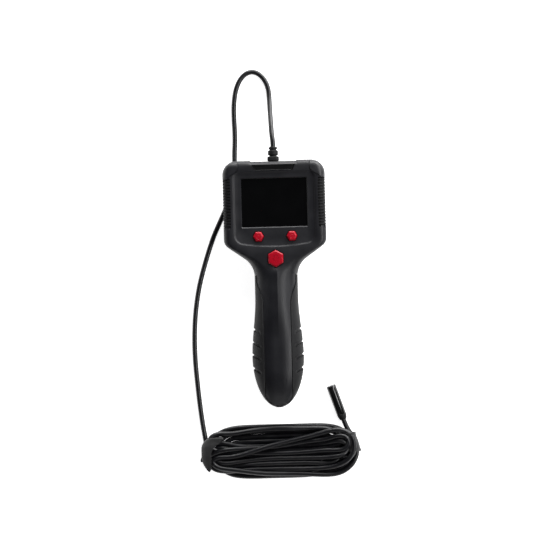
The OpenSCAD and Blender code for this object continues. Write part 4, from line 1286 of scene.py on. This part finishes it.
def probe_boot():
    """Tapered rear of the camera head, where the cable enters."""
    profile = [(-4.4, 2.14), (-4.4, 2.7), (-4.1, 2.95), (-2.6, 3.4), (-1.2, 3.75), (-0.2, 3.92),
               (-0.02, 3.8), (-0.02, 3.46), (4, 3.46), (4, 2.14)]
    return add_mesh("nose", *turned(profile))


STRAP_TOP_Y = -127.6


def strap_half(x):
    """Half of the width that the left strap wraps round at x."""
    return 22 * np.sqrt(np.maximum(0.02, 1 - ((-x - END_X) / 25.2) ** 2))


def left_strap():
    """Hook and loop band wrapped slantwise round the hank's left end."""
    angles = np.linspace(0, 2 * np.pi, 72, endpoint=False)
    c, s = np.cos(angles), np.sin(angles)
    far_y = [-158, -156.5, -155, -153, -150, -140, -135, -131, -128.5, -126, -120]
    far_x = [-62, -60.6, -59.2, -58.4, -58.2, -58.2, -56, -50, -48.2, -47.6, -46.8]

    def ring(share, inset):
        x = mix(-66.4, -53, share)
        half = strap_half(x) - inset
        roof = float(strap_height(np.array(x)))
        high = roof / 2 - inset * 0.9
        y = np.minimum(HANK_MID_Y + half * np.sign(c) * np.abs(c) ** 0.8, STRAP_TOP_Y - inset)
        z = roof / 2 + high * np.sign(s) * np.abs(s) ** 0.55
        edge = mix(-66.6, np.interp(y, far_y, far_x), share)
        y = np.maximum(y, HANK_MID_Y - strap_half(edge) + inset)
        ripple = 0.3 * np.sin(y * 0.8 + 4 * share) * (1 - abs(2 * share - 1))
        return np.stack([edge, y, z + ripple * (s > 0.2)], 1)

    shares = [0.0, 0.04, 0.12, 0.24, 0.38, 0.54, 0.7, 0.86, 0.97, 1.0]
    rings = [ring(v, 0.0) for v in shares] + [ring(v, 1.1) for v in shares[::-1]]
    return add_mesh("strap", *tube(rings), sharp=50)


def strap_tab():
    """The free end of the left strap."""
    path = np.array([(-65, -141.5), (-66.6, -143.6), (-67.6, -145.8), (-67.4, -148)])
    outer = np.array([[(x, y, z) for z in (1.6, 3.4, 5.2, 6.8)] for x, y in path])
    return add_mesh("strap_end", *skin(outer, outer + (1.7, 0.3, 0)), sharp=50)


def right_strap():
    """Band over the outer strands of the hank's right end."""
    low, high = node_box("end_strap")
    path = [(-7.4, 7.8), (-6, 9), (-4.2, 9.6), (-2.2, 9), (-0.8, 7.4), (0, 5.2), (0, 3), (-1, 1.2),
            (-3, 0.3), (-6, 0.2)]
    path = smooth_line([(x, 0, z) for x, z in path], 0.8)
    along = np.gradient(path, axis=0)
    along /= np.linalg.norm(along, axis=1)[:, None]
    inward = np.stack([along[:, 2], 0 * along[:, 0], -along[:, 0]], 1)
    ys = np.linspace(max(low[1], -141.6), min(high[1], -126.2), 14)
    edge = 65.9 - 4.6 * ((ys + 141.6) / 15.4) ** 1.8
    bend = 1.2 * (np.abs(ys - ys.mean()) / np.ptp(ys) * 2) ** 4

    def sheet(depth):
        return np.array([[p - n * (b + depth) + (x, y, 0) for x, y, b in zip(edge, ys, bend)]
                         for p, n in zip(path, inward)])

    return add_mesh("end_band", *skin(sheet(0), sheet(1.0)), sharp=50)


# ------------------------------------------------------------ putting it together

def both_sides(name, shape, slot, node):
    """A piece on the right of the middle plane and its mirror image on the left."""
    points, faces = shape
    for side, sign in (("right", 1), ("left", -1)):
        piece = add_mesh(side + "_" + name, points * (sign, 1, 1), faces)
        settle(piece, "handset", slot, [side + "_" + node])


cable, cable_length, cable_line = cable_curve()
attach(cable, "handset")
cable.data.materials.append(MATERIALS["cable_jacket"])
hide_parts("cable_lead", "cable_hank", "cable_tail")

settle(front_shell(), "handset", "housing_plastic", ["front_shell"])
settle(rear_shell(), "handset", "housing_plastic", ["rear_shell"])
settle(battery_door(), "battery_door", "housing_plastic", ["battery_door"])
both_sides("grip_skin", stack([grip_ring(s) for s in grip_stations()]), "soft_grip", "grip")
guard_angles = (-18.1, -15, -12, -8, -4, 0, 5, 10, 20, 30, 40, 50, 60, 70, 78, 84, 87)
guard_rings = [guard_ring(CORNER_Y + CORNER_R * math.sin(math.radians(a))) for a in guard_angles]
both_sides("guard", stack(guard_rings), "guard_plastic", "corner_guard")
both_sides("ribs", rib_strip(), "soft_grip", "side_ribs")
for side, sign in (("left", -1), ("right", 1)):
    body = side + "_button"
    top = node_box(body)[1][2]
    cap = red_button(side + "_cap", (sign * SMALL_AT[0], SMALL_AT[1]), SMALL_D, 0, top, 1.9)
    settle(cap, body, "button_red", [body])
settle(power_button(node_box("power_button")[1][2]), "power_button", "button_red", ["power_button"])
settle(name_plate(), "handset", "name_plate", ["name_plate"])
settle(screen_lens(), "handset", "screen_glass", ["screen_lens"])

boot = settle(cable_boot(), "handset", "soft_grip", ["cable_boot"])
strap = settle(left_strap(), "handset", "strap_fabric", ["hank_strap"])
settle(strap_tab(), "handset", "strap_fabric")
band = settle(right_strap(), "handset", "strap_fabric", ["end_strap"])
sleeve = settle(probe_sleeve(), "handset", "sleeve_black", ["probe_sleeve"])
nose = settle(probe_boot(), "handset", "soft_grip", ["probe_boot"])

# ------------------------------------------------------------ table and light

def table():
    """Pale table under and round everything."""
    mesh = bpy.data.meshes.new("table")
    size = 4.0
    mesh.from_pydata([(-size, -size, -0.0003), (size, -size, -0.0003), (size, size, -0.0003),
                      (-size, size, -0.0003)], [], [[0, 1, 2, 3]])
    obj = bpy.data.objects.new("table", mesh)
    bpy.context.scene.collection.objects.link(obj)
    material, tree, shader, place = nodes_of("table_white")
    tones = [(0.3, (0.9, 0.9, 0.9)), (0.7, (0.93, 0.93, 0.93))]
    tree.links.new(ramped(tree, noise(tree, place, 60), tones), shader.inputs["Base Color"])
    shader.inputs["Roughness"].default_value = 0.9
    shader.inputs["Emission Color"].default_value = (1, 1, 1, 1)
    shader.inputs["Emission Strength"].default_value = 0.9
    mesh.materials.append(material)
    return obj


def soft_light(name, location, size, power, target=(0, 0, 0.02)):
    """A rectangular lamp turned to the object."""
    data = bpy.data.lights.new(name, "AREA")
    data.shape = "RECTANGLE"
    data.size, data.size_y = size
    data.energy = power
    light = bpy.data.objects.new(name, data)
    light.location = location
    way = Vector(target) - Vector(location)
    light.rotation_euler = way.to_track_quat("-Z", "Y").to_euler()
    bpy.context.scene.collection.objects.link(light)
    return light


lights = [
    soft_light("key", (0.95, 1.05, 0.6), (0.9, 0.5), 15),
    soft_light("low_back", (0.25, 1.4, 0.22), (1.8, 0.4), 24),
    soft_light("back", (0.1, 1.05, 0.75), (0.9, 0.25), 4),
    soft_light("right_high", (0.8, 0.1, 1.05), (1.2, 0.25), 9),
    soft_light("left", (-1.3, 0.1, 0.35), (1.2, 0.5), 2),
    soft_light("front", (0.1, -1.4, 0.7), (1.4, 0.6), 3)]
table()
world = bpy.data.worlds.new("world")
world.use_nodes = True
world.node_tree.nodes["Background"].inputs["Color"].default_value = (0.9, 0.93, 1, 1)
world.node_tree.nodes["Background"].inputs["Strength"].default_value = 0.03
bpy.context.scene.world = world
